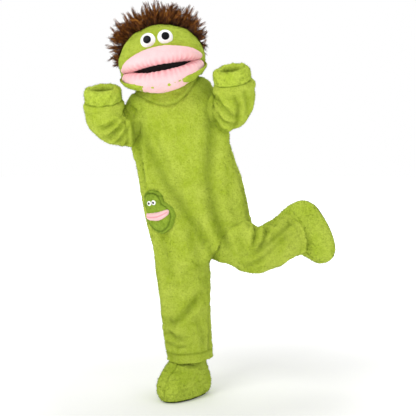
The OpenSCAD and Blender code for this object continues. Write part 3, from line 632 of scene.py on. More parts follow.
legs = {}
for side, name, rings, low in ((1, "left", raised, 2), (-1, "right", standing, 0)):
    top = half_ring(side)
    control = [top, top * 0.5 + rings[low] * 0.5] + rings[low:]
    control += rolled_hem(control, 11, 70)
    rows, marks = between(control, 7.5)
    hem = len(control) - 9
    dark = np.zeros(rows.shape[:2])
    if side > 0:
        rows, dark = wrinkled(rows, marks, unit(d2 - d1), 3, hem - 1, 5.5, 30)
    rows, hem_shade = hem_seam(rows, marks, hem, 34)
    # The hem seam's painted shade joins the crush folds' painted shade.
    dark = np.maximum(dark, hem_shade[:, None])
    cut = marks[3] if side > 0 else marks[3]
    legs[name] = (rows, marks, cut)
    suit += [piece("thigh_" + name, rows[:cut + 1], True, dark0=dark[:cut + 1].ravel()),
        piece("shin_" + name, rows[cut:], True, dark0=dark[cut:].ravel())]

# Arms.
arms = {}
for side, name in ((1, "left"), (-1, "right")):
    start = leaned([side * 154, -14, 476.8 if side > 0 else 505.6])
    a_out = unit(leaned([.74, -.26, -.62] if side > 0 else [-.93, -.20, -.30]))
    a_up = unit(leaned([.05, -.34, .94] if side > 0 else [.16, -.34, .93]))
    path_, inner = bent(start, a_out, 14 if side > 0 else 34, a_up, 90, 54 if side > 0 else 40, 12)
    us = carried([e[1] for e in path_], unit(np.cross([0, 1, 0], a_out)))
    rings = [ring_at(e[0], e[1], us[k], 83, 83, 128) for k, e in enumerate(path_)]
    wrist, up = path_[-1]
    tuck = [ring_at(wrist + z * up, up, us[-1], r, r, 128) for r, z in ((79, 4), (68, 5), (58, 2))]
    rows, marks = between(rings + tuck, 7.0)
    rows, dark = wrinkled(rows, marks, unit(a_up - a_out), 3, 13, 6.5, 34)
    cut = (marks[5] + marks[6]) // 2
    arms[name] = (rows, marks, cut, wrist, up, us[-1])
    suit += [piece("sleeve_upper_" + name, rows[:cut + 1], True, dark0=dark[:cut + 1].ravel()),
        piece("sleeve_lower_" + name, rows[cut:], True, dark0=dark[cut:].ravel())]



def eased_hips(pieces, rounds=90, crotch=False):
    """Draws the cloth into one curve where the trunk runs into the legs."""
    spots = np.concatenate([p["v"] for p in pieces])
    _, first, where = np.unique(np.round(spots * 50).astype(np.int64), axis=0, return_index=True, return_inverse=True)
    where = where.reshape(-1)
    place, links_, at = spots[first].copy(), [], 0
    for p in pieces:
        f = where[at + p["f"]]
        links_ += [f[:, [0, 1]], f[:, [1, 2]], f[:, [2, 3]], f[:, [3, 0]]]
        at += len(p["v"])
    links_ = np.concatenate(links_)
    degree = np.zeros(len(place))
    np.add.at(degree, links_[:, 0], 1)
    np.add.at(degree, links_[:, 1], 1)
    q = upright(place)
    off = np.abs(q[:, 2] - climb(q[:, 0]))
    near = np.exp(-(off / 66) ** 2) * np.clip(np.abs(q[:, 0]) / 40 - 0.1, 0, 1) * (np.abs(q[:, 2]) < 260)
    if crotch:
        near = np.exp(-((place[:, 0] - 45) / 95) ** 2 - ((place[:, 2] + 150) / 80) ** 2)
    for _ in range(rounds):
        total = np.zeros_like(place)
        np.add.at(total, links_[:, 0], place[links_[:, 1]])
        np.add.at(total, links_[:, 1], place[links_[:, 0]])
        place += (total / degree[:, None] - place) * (0.75 * near)[:, None]
    at = 0
    for p in pieces:
        p["v"] = place[where[at:at + len(p["v"])]]
        at += len(p["v"])


eased_hips(suit)
for p in suit:
    if not p["name"].startswith("sleeve"):
        v = p["v"]
        near = np.exp(-((v[:, 0] - 34) / 78) ** 2 - ((v[:, 2] + 96) / 66) ** 2)
        v += near[:, None] * np.array([16, 0, -74])
eased_hips([p for p in suit if not p["name"].startswith("sleeve")], 150, True)
shared_normals(suit)
for p in suit:
    move, dark = fold_field(p["v"], p["n"])
    rims = np.ones(len(p["v"]))
    if p["name"].startswith(("shin", "sleeve_lower")):
        rims = np.clip(np.arange(len(p["v"]))[::-1] / (COLS * 6), 0, 1)
    if p["name"] in ("neck_yoke", "torso_front") or p["name"].startswith("torso_back"):
        from_seam = np.abs(seam_height(p["v"]))
        groove = np.exp(-(from_seam / 4.5) ** 2)
        move += -3.6 * groove + 2.4 * np.exp(-((from_seam - 12) / 8) ** 2)
        # Painted shade in the groove of the yoke seam.
        dark = np.maximum(dark, groove * 0.75)
        q = upright(p["v"])
        move += 15 * np.exp(-((q[:, 2] - 603) / 42) ** 2)
        zipped = np.exp(-(q[:, 0] / 26) ** 2) * (q[:, 1] > 0)
        rims = 1 - zipped * 0.9
        rims *= np.clip((662 - q[:, 2]) / 30, 0, 1)
    rims = rims * (1 - 0.9 * np.exp(-((p["v"][:, 0] - 50) / 70) ** 2 - ((p["v"][:, 2] + 160) / 65) ** 2))
    p["v"] = p["v"] + p["n"] * (np.clip(move, -17, 17) * rims)[:, None]
    # Painted shade: half of the folds' and seam's shade, or the limb's own painted shade where that is darker.
    p["dark"] = np.clip(np.maximum(dark * 0.5, p.get("dark0", 0 * dark)), 0, 1)
shared_normals(suit)
made = {p["name"]: build(p["name"], p["v"], p["f"], LIME, p["n"], p["dark"], pile=(5.5, 6.0)) for p in suit}
for n in ("torso_front", "torso_back_left", "torso_back_right", "neck_yoke"):
    obj = made[n]
    obj.name = n + "_fleece"
    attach(obj, "suit")
    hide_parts(n)


def soft_limb(obj, first, last, nodes_of):
    """Bakes obj's placement into its mesh and hides the parts it stands in for. The span between the two rings of
    points is measured, but nothing uses it.
    """
    ahead = unit(last.mean(0) - first.mean(0))
    s, e = (first @ ahead).max(), (last @ ahead).min()
    if e < s + 30:
        s, e = first.mean(0) @ ahead, last.mean(0) @ ahead
    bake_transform(obj)
    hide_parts(*nodes_of)


for name in ("left", "right"):
    rows, marks, cut = legs[name]
    soft_limb(made["thigh_" + name], rows[0], rows[cut],
        ["hip_gusset_" + name, "leg_upper_" + name])
    far = marks[9] if name == "left" else marks[6]
    soft_limb(made["shin_" + name], rows[cut], rows[far],
        ["knee_gusset_" + name, "leg_lower_" + name])
    rows, marks, cut, wrist, up, across = arms[name]
    soft_limb(made["sleeve_upper_" + name], rows[marks[1]], rows[cut],
        ["shoulder_gusset_" + name, "sleeve_upper_" + name])
    soft_limb(made["sleeve_lower_" + name], rows[cut], rows[marks[11]],
        ["elbow_gusset_" + name, "sleeve_lower_" + name])


# ---------- puffed pieces made from rows ----------

def stuffed(name, rows, wrap, mat, body, nodes_of, bumps=((2.2, 60, 31), (0.8, 18, 32)), dark=None, rims=None):
    pile = {LIME: (5.0, 6.0), SHOE_LIME: (6.5, 5.0), PATCH: (3.0, 4.0)}.get(mat)
    p = piece(name, rows, wrap)
    shared_normals([p])
    move = sum(k * waves(p["v"], size, seed) for k, size, seed in bumps)
    if rims is not None:
        move = move * rims
    p["v"] = p["v"] + p["n"] * np.asarray(move)[:, None]
    shared_normals([p])
    obj = build(name, p["v"], p["f"], mat, p["n"], dark, pile=pile)
    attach(obj, body)
    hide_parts(*nodes_of)
    return obj


def cuff_rows(wrist, up, across):
    """A fat rolled cuff: outside, over the rounded edge, down the throat."""
    profile = [(74, 1), (77, 3), (79, 9), (80, 17), (80, 26), (79.5, 34)]
    profile += [(59 + 20.5 * math.cos(a), 45 + 20 * math.sin(a)) for a in np.linspace(0.15, math.pi - 0.1, 15)]
    profile += [(39.5, 40), (39.5, 32), (40, 25)]
    rings = [ring_at(wrist + (z + 0.6) * up, up, across, r, r, 112) for r, z in profile]
    return between(rings, 4.0)[0]


for name in ("left", "right"):
    _, _, _, wrist, up, across = arms[name]
    rows = cuff_rows(wrist, up, across)
    run = ((rows - wrist) @ up).ravel()
    wide = np.linalg.norm((rows - wrist) - ((rows - wrist) @ up)[..., None] * up, axis=-1).ravel()
    # Painted shade in the groove where the cuff meets the sleeve.
    groove = np.exp(-((run - 2) / 5) ** 2) * (wide > 65)
    stuffed("cuff_" + name + "_plush", rows, True, SHOE_LIME, "forearm_" + name, ["cuff_" + name],
        ((1.9, 46, 41), (0.9, 15, 42)), groove * 0.9, np.clip((wide - 42) / 12, 0, 1))

# ---------- shoe covers ----------

SHOE = [(0.00, 0.78, 0.59, 0.23), (0.09, 0.92, 0.655, 0.265), (0.24, 0.99, 0.685, 0.285), (0.45, 0.98, 0.65, 0.29),
    (0.66, 0.90, 0.52, 0.27), (0.86, 0.74, 0.28, 0.235)]


def on_shoe(name, p):
    if name == "left":
        last = raised_path[-1]
        down = unit([.60, -.16, -.78])
        toe = unit(down - np.dot(down, d2) * d2)
        top = -d2
        x = np.cross(-toe, top)
        ankle = last[0] + 166 * last[1] - 22 * toe
        return ankle + p[..., :1] * x + p[..., 1:2] * -toe + p[..., 2:] * top
    yaw = math.radians(-28)
    c, s = math.cos(yaw), math.sin(yaw)
    return np.array([hem_mid[0] - 8, hem_mid[1], -785]) + np.stack(
        [p[..., 0] * c - p[..., 1] * s, p[..., 0] * s + p[..., 1] * c, p[..., 2]], -1)


for name in ("left", "right"):
    rings = [oval([0, 0, 6 + s[0] * 172], s[1] * 103, s[2] * 316, s[3] * 316, 144) for s in SHOE]
    bottom = [oval([0, 0, 5.0], 48, 110, 40, 144), oval([0, 0, 4.4], 70, 165, 62, 144)]
    top = [oval([0, 0, 178], 62, 62, 62, 144), oval([0, 0, 181], 58, 58, 58, 144), oval([0, 0, 177], 52.5, 52.5, 52.5, 144),
        oval([0, 0, 160], 52, 52, 52, 144), oval([0, 0, 120], 60, 60, 60, 144)]
    rows, marks = between(bottom + rings + top, 6.5)
    flat = rows.reshape(-1, 3)
    row_of = np.repeat(np.arange(len(rows)), 144)
    outside = (row_of < marks[8]).astype(float)
    ahead = np.clip(-flat[:, 1] / 60, 0, 1) * np.clip((flat[:, 2] - 8) / 30, 0, 1)
    seam = np.exp(-(flat[:, 0] / 3.6) ** 2) * ahead * outside
    puff = np.exp(-((np.abs(flat[:, 0]) - 11) / 9) ** 2) * ahead * outside
    gather = np.exp(-((flat[:, 2] - 172) / 12) ** 2) * outside
    around = np.arctan2(flat[:, 1], flat[:, 0])
    out_dir = unit(flat - np.array([0, -60, 70]))
    flat = flat + out_dir * (-1.9 * seam + 1.0 * puff + 1.8 * gather * np.cos(around * 26))[:, None]
    # Painted shade in the groove of the toe seam and between the gathers at the top.
    dark = np.clip(seam * 0.4 + 0.4 * gather * np.clip(-np.cos(around * 26), 0, 1), 0, 1)
    rims = np.clip((178 - flat[:, 2]) / 20, 0, 1) * np.clip((flat[:, 2] - 6) / 14, 0, 1) * outside
    stuffed("shoe_" + name + "_plush", on_shoe(name, flat.reshape(rows.shape)), True, SHOE_LIME, "foot_" + name,
        ["shoe_upper_" + name], ((3.2, 85, 51), (1.0, 24, 52)), dark, rims)
    sole_rows = [oval([0, 0, z], 84 * k - d, 190 * k - d, 75 * k - d, 96) for z, k, d in
        ((1.4, 0.02, 0), (1.2, 0.5, 0), (1.0, 0.9, 0), (0.2, 1, 9), (0, 1, 5), (1.0, 1, 2.6), (3.2, 1, 2.0), (5.2, 1, 2.2))]
    tread, _ = between(sole_rows, 3.0)
    obj = build("shoe_sole_" + name + "_rubber", on_shoe(name, tread[::-1]).reshape(-1, 3),
        grid_faces(len(tread), 96, True), SOLE)
    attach(obj, "foot_" + name)
    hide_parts("shoe_sole_" + name)

# ---------- head ----------

SIDES = 160


def head_ring(lat, g, n=SIDES):
    a = math.radians(lat)
    z = (150 if a < 0 else 160) + g
    c = math.cos(a)
    return oval([0, 0, z * math.sin(a)], (186 + g) * c, (152 + g) * c, (160 + g) * c, n)


MOUTH_LAT = math.degrees(math.asin(-24 / 150))


def edge_rolled(lats, g, thick):
    """Rows of fleece between two latitudes, turned in at both edges."""
    rows = [head_ring(lats[0] + 1.2, g - thick), head_ring(lats[0] + 0.3, g - thick * 0.6)]
    rows += [head_ring(a, g) for a in lats]
    rows += [head_ring(lats[-1] - 0.3, g - thick * 0.6), head_ring(lats[-1] - 1.2, g - thick)]
    return np.array(rows)


skull_lats = [*np.linspace(MOUTH_LAT, 60, 34), *np.linspace(62, 89.4, 14)]
rows = np.array([head_ring(MOUTH_LAT + 1.2, 0.8), head_ring(MOUTH_LAT + 0.3, 2.5)] + [head_ring(a, 5.5) for a in skull_lats])
stuffed("head_cover_fleece", in_head(rows), True, LIME, "head", ["head_cover"],
    ((1.6, 70, 61), (0.7, 20, 62)))
nape_rows = edge_rolled(np.linspace(-32, MOUTH_LAT - 0.4, 12), 5.5, 4.6)[:, :SIDES // 2 + 1]
obj = stuffed("nape_cover_fleece", in_head(nape_rows), False, LIME, "head", ["head_cover"],
    ((1.4, 70, 61), (0.6, 20, 62)))
jaw_rows = edge_rolled(np.linspace(-34, MOUTH_LAT - 7, 10), 5.5, 4.6)[:, SIDES // 2 + 6:SIDES - 5]
stuffed("jaw_cover_fleece", in_head(jaw_rows), False, LIME, "jaw", ["jaw_cover"],
    ((1.2, 60, 64), (0.6, 18, 65)))

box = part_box("neck_ring")
neck_top, neck_low = leaned([0, 0, 668]), leaned([0, 0, 640])


# ---------- lips ----------

def lip_rows(upward, along=150, around=44):
    rows, puck = [], []
    for k in np.linspace(0.0, 1.0, along):
        e = 0.045 + 0.91 * k
        a = math.pi * e
        s = math.sin(a) ** 0.7
        close = min(1.0, math.sqrt(max(0.0, 1 - (1 - min(1, min(k, 1 - k) / 0.035)) ** 2)) + 0.02)
        h, t = (4 + 40 * s) * close, (8 + 41.6 * s) * close
        z = -24 + (h + 0.5 if upward else -h - 26 * math.sin(a) ** 2 - 1)
        if not upward:
            h, z = h + 1.5 * s * close, z - 1.5 * s * close
        else:
            slim = h - (4 + 34.5 * math.sin(a)) * close
            h, z = h - slim, z - slim
        sag = 6.5 * math.sin(a) ** 2 - 6.5 * max(0.0, (math.sin(a) - 0.55) / 0.45) ** 1.3
        h, z = h + sag, z + (-sag if upward else sag)
        mid = np.array([-163 * math.cos(a), -34 - 146 * math.sin(a) ** 0.75, z])
        out = unit([-math.cos(a) * 0.9, -1.2 * math.sin(a) - 0.05, 0])
        b = angles(around)[:, None]
        rows.append(mid + t * np.cos(b) * out + np.array([0, 0, 1.0]) * h * np.sin(b))
        inner = np.sin(b[:, 0]) * (-1 if upward else 1)
        fringe = np.clip(inner * 1.3 - 0.15, 0, 1) * np.clip(np.cos(b[:, 0]) + 0.55, 0, 1)
        ribs = np.cos(e * 2 * math.pi * 26 + 1.2 * math.sin(e * 31))
        # The second value of puck is painted shade in the valleys between the puckers on the lips' inner side.
        puck.append(np.stack([fringe * ribs * 1.6 * s, np.clip(fringe * (0.55 - 0.45 * ribs), 0, 1) * 0.5], -1))
    return np.array(rows), np.array(puck)


for upward, body, node in ((True, "head", "upper_lip"), (False, "jaw", "lower_lip")):
    rows, puck = lip_rows(upward)
    p = piece(node, in_head(rows), True)
    shared_normals([p])
    mids = in_head(rows).mean(1, keepdims=True)
    outward = unit(in_head(rows) - mids).reshape(-1, 3)
    if (p["n"] * outward).sum() < 0:
        p["f"] = p["f"][:, ::-1]
    swell = 1.6 * waves(p["v"], 75, 71) + 0.7 * waves(p["v"], 24, 72)
    p["v"] = p["v"] + outward * (puck[..., 0].ravel() + swell)[:, None]
    shared_normals([p])
    obj = build(node + "_plush", p["v"], p["f"], LIP, p["n"], puck[..., 1].ravel())
    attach(obj, body)
    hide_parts(node)

rows = np.array([[*r[SIDES // 2 + 16:SIDES - 15]] for r in (head_ring(a, 9.0) for a in np.linspace(-30, 3, 30))])
rows[:, :, 1] += 3.0 * np.cos(np.linspace(0, math.pi, rows.shape[0]))[:, None] ** 2
p = piece("mouth_lining", in_head(rows), False)
shared_normals([p])
obj = build("mouth_lining", p["v"], p["f"], MESH, p["n"])
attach(obj, "head")

# Stretch fleece at each corner of the mouth joins the head to the jaw.
for side, name in ((1, "left"), (-1, "right")):
    t = np.radians(np.linspace(-48, 12, 46))
    rows = []
    for lat in np.linspace(-33, -7.5, 26):
        a, edge = math.radians(lat), 7.4 - 2.2 * abs((lat + 20) / 13) ** 4
        z, c = (150 + edge) * math.sin(a), math.cos(a)
        x = (186 + edge) * c * np.cos(t)
        y = np.where(np.sin(t) < 0, 152 + edge, 160 + edge) * c * np.sin(t)
        rows.append(np.stack([side * x, y, 0 * x + z], -1))
    rows = np.array(rows)
    if side < 0:
        rows = rows[:, ::-1]
    p = piece("cheek_" + name, in_head(rows), False)
    shared_normals([p])
    p["v"] = p["v"] + p["n"] * (1.1 * waves(p["v"], 40, 68) + 0.6 * waves(p["v"], 14, 69))[:, None]
    obj = build("cheek_" + name + "_fleece", p["v"], p["f"], LIME, p["n"], pile=(5.0, 6.0))
    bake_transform(obj)

# The jaw's fleece runs up under the lower lip, and shows as a rim round it.
rows = []
for k in np.linspace(0.0, 1.0, 130):
    a = math.pi * (0.045 + 0.91 * k)
    s = math.sin(a) ** 0.7
    close = min(1.0, math.sqrt(max(0.0, 1 - (1 - min(1, min(k, 1 - k) / 0.035)) ** 2)) + 0.02)
    h, t = (4 + 40 * s) * close, (8 + 41.6 * s) * close
    mid = np.array([-178 * math.cos(a), -30 - 150 * math.sin(a) ** 0.8, -25 - h - 26 * math.sin(a) ** 2])
    out = unit([-math.cos(a) * 0.9, -1.2 * math.sin(a) - 0.05, 0])
    b = np.radians(np.linspace(-8, -186, 34))[:, None]
    grow = 0.99 - 0.12 * np.exp(-((np.degrees(b) + 8) / 9) ** 2)
    rows.append(mid + (t + 1) * grow * np.cos(b) * out + np.array([0, 0, 1.0]) * h * grow * np.sin(b))
rows = np.array(rows)
probe = piece("probe", in_head(rows), False)
shared_normals([probe])
if (probe["n"] * unit(in_head(rows) - in_head(rows).mean(1, keepdims=True)).reshape(-1, 3)).sum() < 0:
    rows = rows[:, ::-1]
stuffed("chin_fleece", in_head(rows), False, LIME, "jaw", ["jaw_cover"], ((1.0, 60, 66), (0.8, 18, 67)))

# ---------- eyes ----------


def face_y(x, z):
    return -157.5 * math.sqrt(max(0, 1 - (x / 191) ** 2 - (z / 165) ** 2))


def on_eye(side, p):
    a, b = math.radians(90 - 38 * 0.3), math.radians(side * 8)
    turn = Matrix.Rotation(a, 3, "X") @ Matrix.Identity(3)
    spin = Matrix.Rotation(b, 3, "Z")
    m = np.array(spin @ turn)
    place = np.array([side * 38, face_y(38 + 33 * 0.4, 92 - 33 * 0.5) + 2, 92])
    return in_head(place + p @ m.T)


for side, name in ((1, "left"), (-1, "right")):
    big = math.hypot(33, 20)
    profile = [(33.0, -24), (33.4, -8), (33.2, 0.2)]
    profile += [(big * math.sin(a), big * math.cos(a) - 20) for a in np.linspace(math.asin(33 / big) * 0.97, 0.02, 22)]
    rows = np.array([ring_at([0, 0, z], np.array([0, 0, 1.0]), np.array([1.0, 0, 0]), r, r, 72) for r, z in profile])
    obj = build("eye_" + name + "_dome", on_eye(side, rows).reshape(-1, 3), grid_faces(len(rows), 72, True), WHITE)
    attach(obj, "head")
    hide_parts("eye_" + name)
    profile = [(17, big - 27), (17.2, big - 21.6)]
    profile += [(17.0 * math.sin(a), big - 21.4 + 3.0 * math.cos(a)) for a in np.linspace(1.45, 0.02, 10)]
    rows = np.array([ring_at([0, 0, z], np.array([0, 0, 1.0]), np.array([1.0, 0, 0]), r, r, 64) for r, z in profile])
    obj = build("pupil_" + name + "_disc", on_eye(side, rows).reshape(-1, 3), grid_faces(len(rows), 64, True), BLACK)
    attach(obj, "head")
    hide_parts("pupil_" + name)

# ---------- hair ----------

TIP12 = math.radians(12)


def behind_crest(p, more=0.0):
    """Behind the crest and above the hairline, which falls towards the nape."""
    side = p[..., 1] * math.sin(math.radians(48)) + p[..., 2] * math.cos(math.radians(48))
    return (p[..., 1] * math.cos(TIP12) + p[..., 2] * math.sin(TIP12) >= -8 - more) & (side >= 24 - more)


lats = np.linspace(MOUTH_LAT + 2, 89.2, 44)
rows = np.array([head_ring(a, 10.5) for a in lats])
p = piece("hair_cap_cloth", in_head(rows), True)
keep = behind_crest(rows).reshape(-1)
p["f"] = p["f"][keep[p["f"]].all(1)]
used, where = np.unique(p["f"], return_inverse=True)
cap = build("hair_cap_cloth", p["v"][used], where.reshape(-1, 4), CAP)
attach(cap, "head")
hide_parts("hair_cap")

mat, nodes, links, shader, coords = graph("hair_fibre")
tint = noise(nodes, links, coords, 70, 3)
fine = noise(nodes, links, coords, 420, 2)
# Painted shade: strands darken towards their roots, inside the mass of hair.
shade = nodes.new("ShaderNodeAttribute")
shade.attribute_name = "painted_shade"
body_colour = ramp(nodes, links, tint, [(0.34, linear(62, 28, 3)), (0.52, linear(110, 58, 10)), (0.7, linear(186, 122, 44))])
body_colour = mixed(nodes, links, shade.outputs["Fac"], body_colour, linear(34, 15, 5))
links.new(body_colour, shader.inputs["Base Color"])
shader.inputs["Roughness"].default_value = 0.55
shader.inputs["Specular IOR Level"].default_value = 0.25
bumped(nodes, links, shader, [(fine, 0.3, 0.0004)])
HAIR = mat

guides = []
while len(guides) < 520:
    up_ = rng.uniform(math.sin(math.radians(MOUTH_LAT + 5)), 1)
    t = rng.uniform(0, 2 * math.pi)
    c = math.sqrt(1 - up_ * up_)
    n = np.array([c * math.cos(t), c * math.sin(t), up_])
    root = np.array([196 * n[0], (162 if n[1] < 0 else 170) * n[1], 170 * n[2]])
    if behind_crest(root[None], -2)[0] and root[2] > 96 - 1.15 * root[1]:
        guides.append((root, unit(n / np.array([196, 165, 170]))))
hair_v, hair_f, hair_root_shade = [], [], []
POINTS = 8
for root, normal in guides:
    top_share = np.clip(root[2] / 150, 0, 1)
    rear = np.clip(root[1] / 120, 0, 1) * (1 - top_share)
    fall = np.array([0, 0.15, -1.0]) * rear + np.array([0, -0.15, 0.35]) * (1 - rear)
    aim = unit(normal + 0.55 * fall + rng.normal(0, 0.24, 3) + np.array([0.5 * np.clip(root[0] / 90, -1, 1), -0.1, 0]))
    length = (26 + 72 * top_share) * rng.uniform(0.66, 1.16)
    side_a = unit(np.cross(aim, rng.normal(size=3)))
    side_b = np.cross(aim, side_a)
    turns, phase, swing = rng.uniform(0.35, 0.8), rng.uniform(0, 6.28), rng.uniform(6, 15)
    droop = np.array([0, 0, -1.0]) * rng.uniform(0, 0.30) * length * (0.3 + 0.7 * (rear > 0.2))
    s = np.linspace(0, 1, POINTS)
    curl = swing * s[:, None] * (np.cos(turns * 6.28 * s + phase)[:, None] * side_a + np.sin(turns * 6.28 * s + phase)[:, None] * side_b)
    curl -= curl[0]
    guide = root - normal * 3 + s[:, None] * length * aim + curl + s[:, None] ** 2 * droop
    for _ in range(14):
        spread = rng.normal(0, 1, 3) * 8.5
        spread -= np.dot(spread, aim) * aim
        loose = rng.normal(0, 3.2, 3)
        line = guide + spread * (1 - 0.82 * s[:, None]) + loose * s[:, None] ** 2
        thick = rng.uniform(1.1, 2.1) * (1 - 0.86 * s**1.6)
        first = len(hair_v)
        for k in range(POINTS):
            for j in range(3):
                a = j * 2.0944
                hair_v.append(line[k] + thick[k] * (math.cos(a) * side_a + math.sin(a) * side_b))
                # Painted shade, strongest at the root and gone by two fifths of the way out.
                hair_root_shade.append(max(0, 0.8 - 2.0 * s[k]))
        for k in range(POINTS - 1):
            for j in range(3):
                a, b = first + k * 3 + j, first + k * 3 + (j + 1) % 3
                hair_f.append((a, b, b + 3, a + 3))
hair_v = in_head(np.array(hair_v))
hair_v[:, 1] = np.where(hair_v[:, 1] > 160, 160 + 40 * np.tanh((hair_v[:, 1] - 160) / 40), hair_v[:, 1])
hair = build("hair_strands", hair_v, hair_f, HAIR, None, hair_root_shade)
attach(hair, "head")
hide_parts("hair")

# ---------- neck ring ----------

profile = [(72.5, 0), (72.2, 10), (73, 19), (78, 23), (85, 21), (89, 15), (90, 7), (89, 0)]
mid = np.array([(box[0][k] + box[1][k]) * 500 for k in range(3)])
axis = leaned([0, 0, 1.0])
low = mid - 10.5 * axis
rows, _ = between([ring_at(low + z * axis, axis, unit(np.cross([0, 1.0, 0], axis)), r, r, 112) for r, z in profile[::-1]], 4.0)
stuffed("neck_ring_fleece", rows, True, LIME, "neck", ["neck_ring"], ((0.8, 40, 81), (0.4, 14, 82)))

# ---------- pocket with a plush motif ----------


def on_pocket(p):
    a = math.radians(-34)
    c, s = math.cos(a), math.sin(a)
    x, y, z = p[..., 0], -p[..., 2], p[..., 1]
    q = np.stack([x * c - y * s, x * s + y * c, z], -1)
    q = q + np.array([-230 * math.cos(math.radians(47)), -166 * math.sin(math.radians(47)), 99.2])
    return leaned(q)


trunk_v, trunk_f = [], []
for p in suit:
    if p["name"] in ("torso_front", "torso_back_right", "thigh_right"):
        trunk_f += [tuple(int(i) + len(trunk_v) for i in q) for q in p["f"]]
        trunk_v += p["v"].tolist()
tree = BVHTree.FromPolygons(trunk_v, trunk_f)
inward = unit(on_pocket(np.array([0, 0, -1.0])) - on_pocket(np.zeros(3)))


def over_trunk(uv, height):
    """Points above the trunk's fabric, under places in the pocket's own plane."""
    found = []
    for (u, v), h in zip(uv, height):
        a = on_pocket(np.array([u, v, 150.0]))
        hit, normal, _, _ = tree.ray_cast(Vector(a), Vector(inward))
        spot = np.array(hit if hit is not None else on_pocket(np.array([u, v, 0.0])))
        found.append(spot - inward * h)
    return np.array(found)


def outline(a):
    """Distance from the middle to the motif's edge: a wide rounded lower part and a narrower crown."""
    u, v = np.cos(a), np.sin(a)
    best = np.zeros_like(a)
    for cx, cy, rx, ry in ((-14.6, 47, 51, 51), (0, -27.4, 73, 70.6), (-8, 12, 56, 40)):
        ux, uy = u / rx, v / ry
        px, py = -cx / rx, -cy / ry
        A, B, C = ux * ux + uy * uy, ux * px + uy * py, px * px + py * py - 1
        disc = B * B - A * C
        r = np.where(disc > 0, (-B + np.sqrt(np.maximum(disc, 0))) / A, 0)
        best = np.maximum(best, r)
    return best


a = angles(120)
edge = outline(a)
for _ in range(5):
    edge = (np.roll(edge, 1) + edge * 2 + np.roll(edge, -1)) / 4
shares = [1.0, 1.004, 0.995, 0.97, 0.93, 0.88, 0.82, 0.74, 0.64, 0.53, 0.42, 0.31, 0.2, 0.1, 0.01]
lifts = [1.0, 6.0, 12.0, 17.0, 20.5, 22.5, 24.0, 25.0, 25.6, 26.0, 26.2, 26.3, 26.3, 26.3, 26.3]
uv = np.concatenate([np.stack([edge * k * np.cos(a), edge * k * np.sin(a)], -1) for k in shares])
share = np.repeat(shares, 120)
lift = np.repeat(lifts, 120)
crown = np.clip((uv[:, 1] - 10) / 50, 0, 1)
gathers = np.cos(np.arctan2(uv[:, 0] + 10, 92 - uv[:, 1]) * 16) * crown * share
lift = lift + 1.8 * gathers
stitched = np.exp(-((share - 0.88) / 0.035) ** 2)
lift = lift - 2.6 * stitched
rows = over_trunk(uv, lift).reshape(len(shares), 120, 3)
# Painted shade in the stitched groove and between the gathers.
stuffed("pocket_patch_plush", rows, True, PATCH, "suit", ["pocket_body", "pocket_pouch"],
    ((0.9, 30, 91), (0.5, 11, 92)), np.clip(stitched * 0.8 + 0.6 * np.clip(-gathers, 0, 1), 0, 1))
rows, dark = [], []
for k in np.linspace(-1, 1, 46):
    close = math.sqrt(max(0.0004, 1 - max(0, abs(k) - 0.86) ** 2 / 0.0196))
    r = (19 - 8 * k * k) * close
    b = angles(28)
    smile = 12 * k * k
    uv = np.stack([np.full(28, 62.8 * k), -19.6 + smile + r * np.cos(b)], -1)
    notch = np.exp(-((uv[:, 1] - (-19.6 + smile)) / 2.2) ** 2) * (np.sin(b) > 0)
    lift = 24 + (r * 0.72 + 2) * np.sin(b) - 3.2 * notch * close
    rows.append(over_trunk(uv, lift))
    # Painted shade in the notch between the two lips.
    dark.append(notch * 0.9 * close)
rows = np.array(rows)
lip_piece = piece("pocket_lips", rows, True)
shared_normals([lip_piece])
mids = rows.mean(1, keepdims=True)
if (lip_piece["n"] * unit(rows - mids).reshape(-1, 3)).sum() < 0:
    rows, dark = rows[::-1], dark[::-1]
stuffed("pocket_lips_plush", rows, True, LIP, "suit", ["pocket_lips"],
    ((0.5, 26, 93), (0.2, 10, 94)), np.array(dark).ravel())
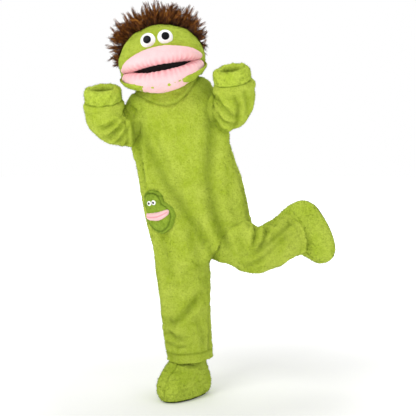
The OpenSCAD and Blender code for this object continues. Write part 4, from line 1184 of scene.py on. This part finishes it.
for side in (1, -1):
    mid_uv = np.array([-11.7 + side * 13, 43.1])
    face = over_trunk([mid_uv], [27.0])[0]
    n = -inward
    ux = unit(np.cross([0, 0, 1.0], n)) * 1.0
    uy = np.cross(n, ux)
    for r0, mat_, lift0, tag in ((11.0, WHITE, 0.0, "white"), (5.2, BLACK, 3.6, "pupil")):
        profile = [(r0, -6), (r0, 0)] + [(r0 * math.sin(q), r0 * 0.35 * math.cos(q)) for q in np.linspace(1.45, 0.02, 9)]
        rings = np.array([face + lift0 * n + z * n + r * (np.cos(angles(36))[:, None] * ux + np.sin(angles(36))[:, None] * uy)
            for r, z in profile])
        obj = build("pocket_eye_" + ("left_" if side > 0 else "right_") + tag, rings.reshape(-1, 3),
            grid_faces(len(rings), 36, True), mat_)
        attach(obj, "suit")
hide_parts("pocket_eyes")
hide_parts("pocket_eyes")

# ---------- floor ----------

floor_mesh = bpy.data.meshes.new("floor")
floor_mesh.from_pydata([(-14, -8, -0.785), (14, -8, -0.785), (14, 20, -0.785), (-14, 20, -0.785)], [], [(0, 1, 2, 3)])
floor = bpy.data.objects.new("floor", floor_mesh)
bpy.context.scene.collection.objects.link(floor)
mat, nodes, links, shader, coords = graph("pale_floor")
links.new(ramp(nodes, links, noise(nodes, links, coords, 2, 2), [(0.3, (0.93, 0.93, 0.93)), (0.7, (0.95, 0.95, 0.95))]),
    shader.inputs["Base Color"])
shader.inputs["Roughness"].default_value = 0.95
shader.inputs["Specular IOR Level"].default_value = 0.1
shader.inputs["Emission Color"].default_value = (1, 1, 1, 1)
away = nodes.new("ShaderNodeVectorMath")
away.operation = "LENGTH"
links.new(coords.outputs["Object"], away.inputs[0])
glow = nodes.new("ShaderNodeMapRange")
glow.inputs["From Min"].default_value = 1.0
glow.inputs["From Max"].default_value = 3.2
glow.inputs["To Min"].default_value = 0.10
glow.inputs["To Max"].default_value = 1.0
links.new(away.outputs["Value"], glow.inputs["Value"])
links.new(glow.outputs[0], shader.inputs["Emission Strength"])
floor_mesh.materials.append(mat)
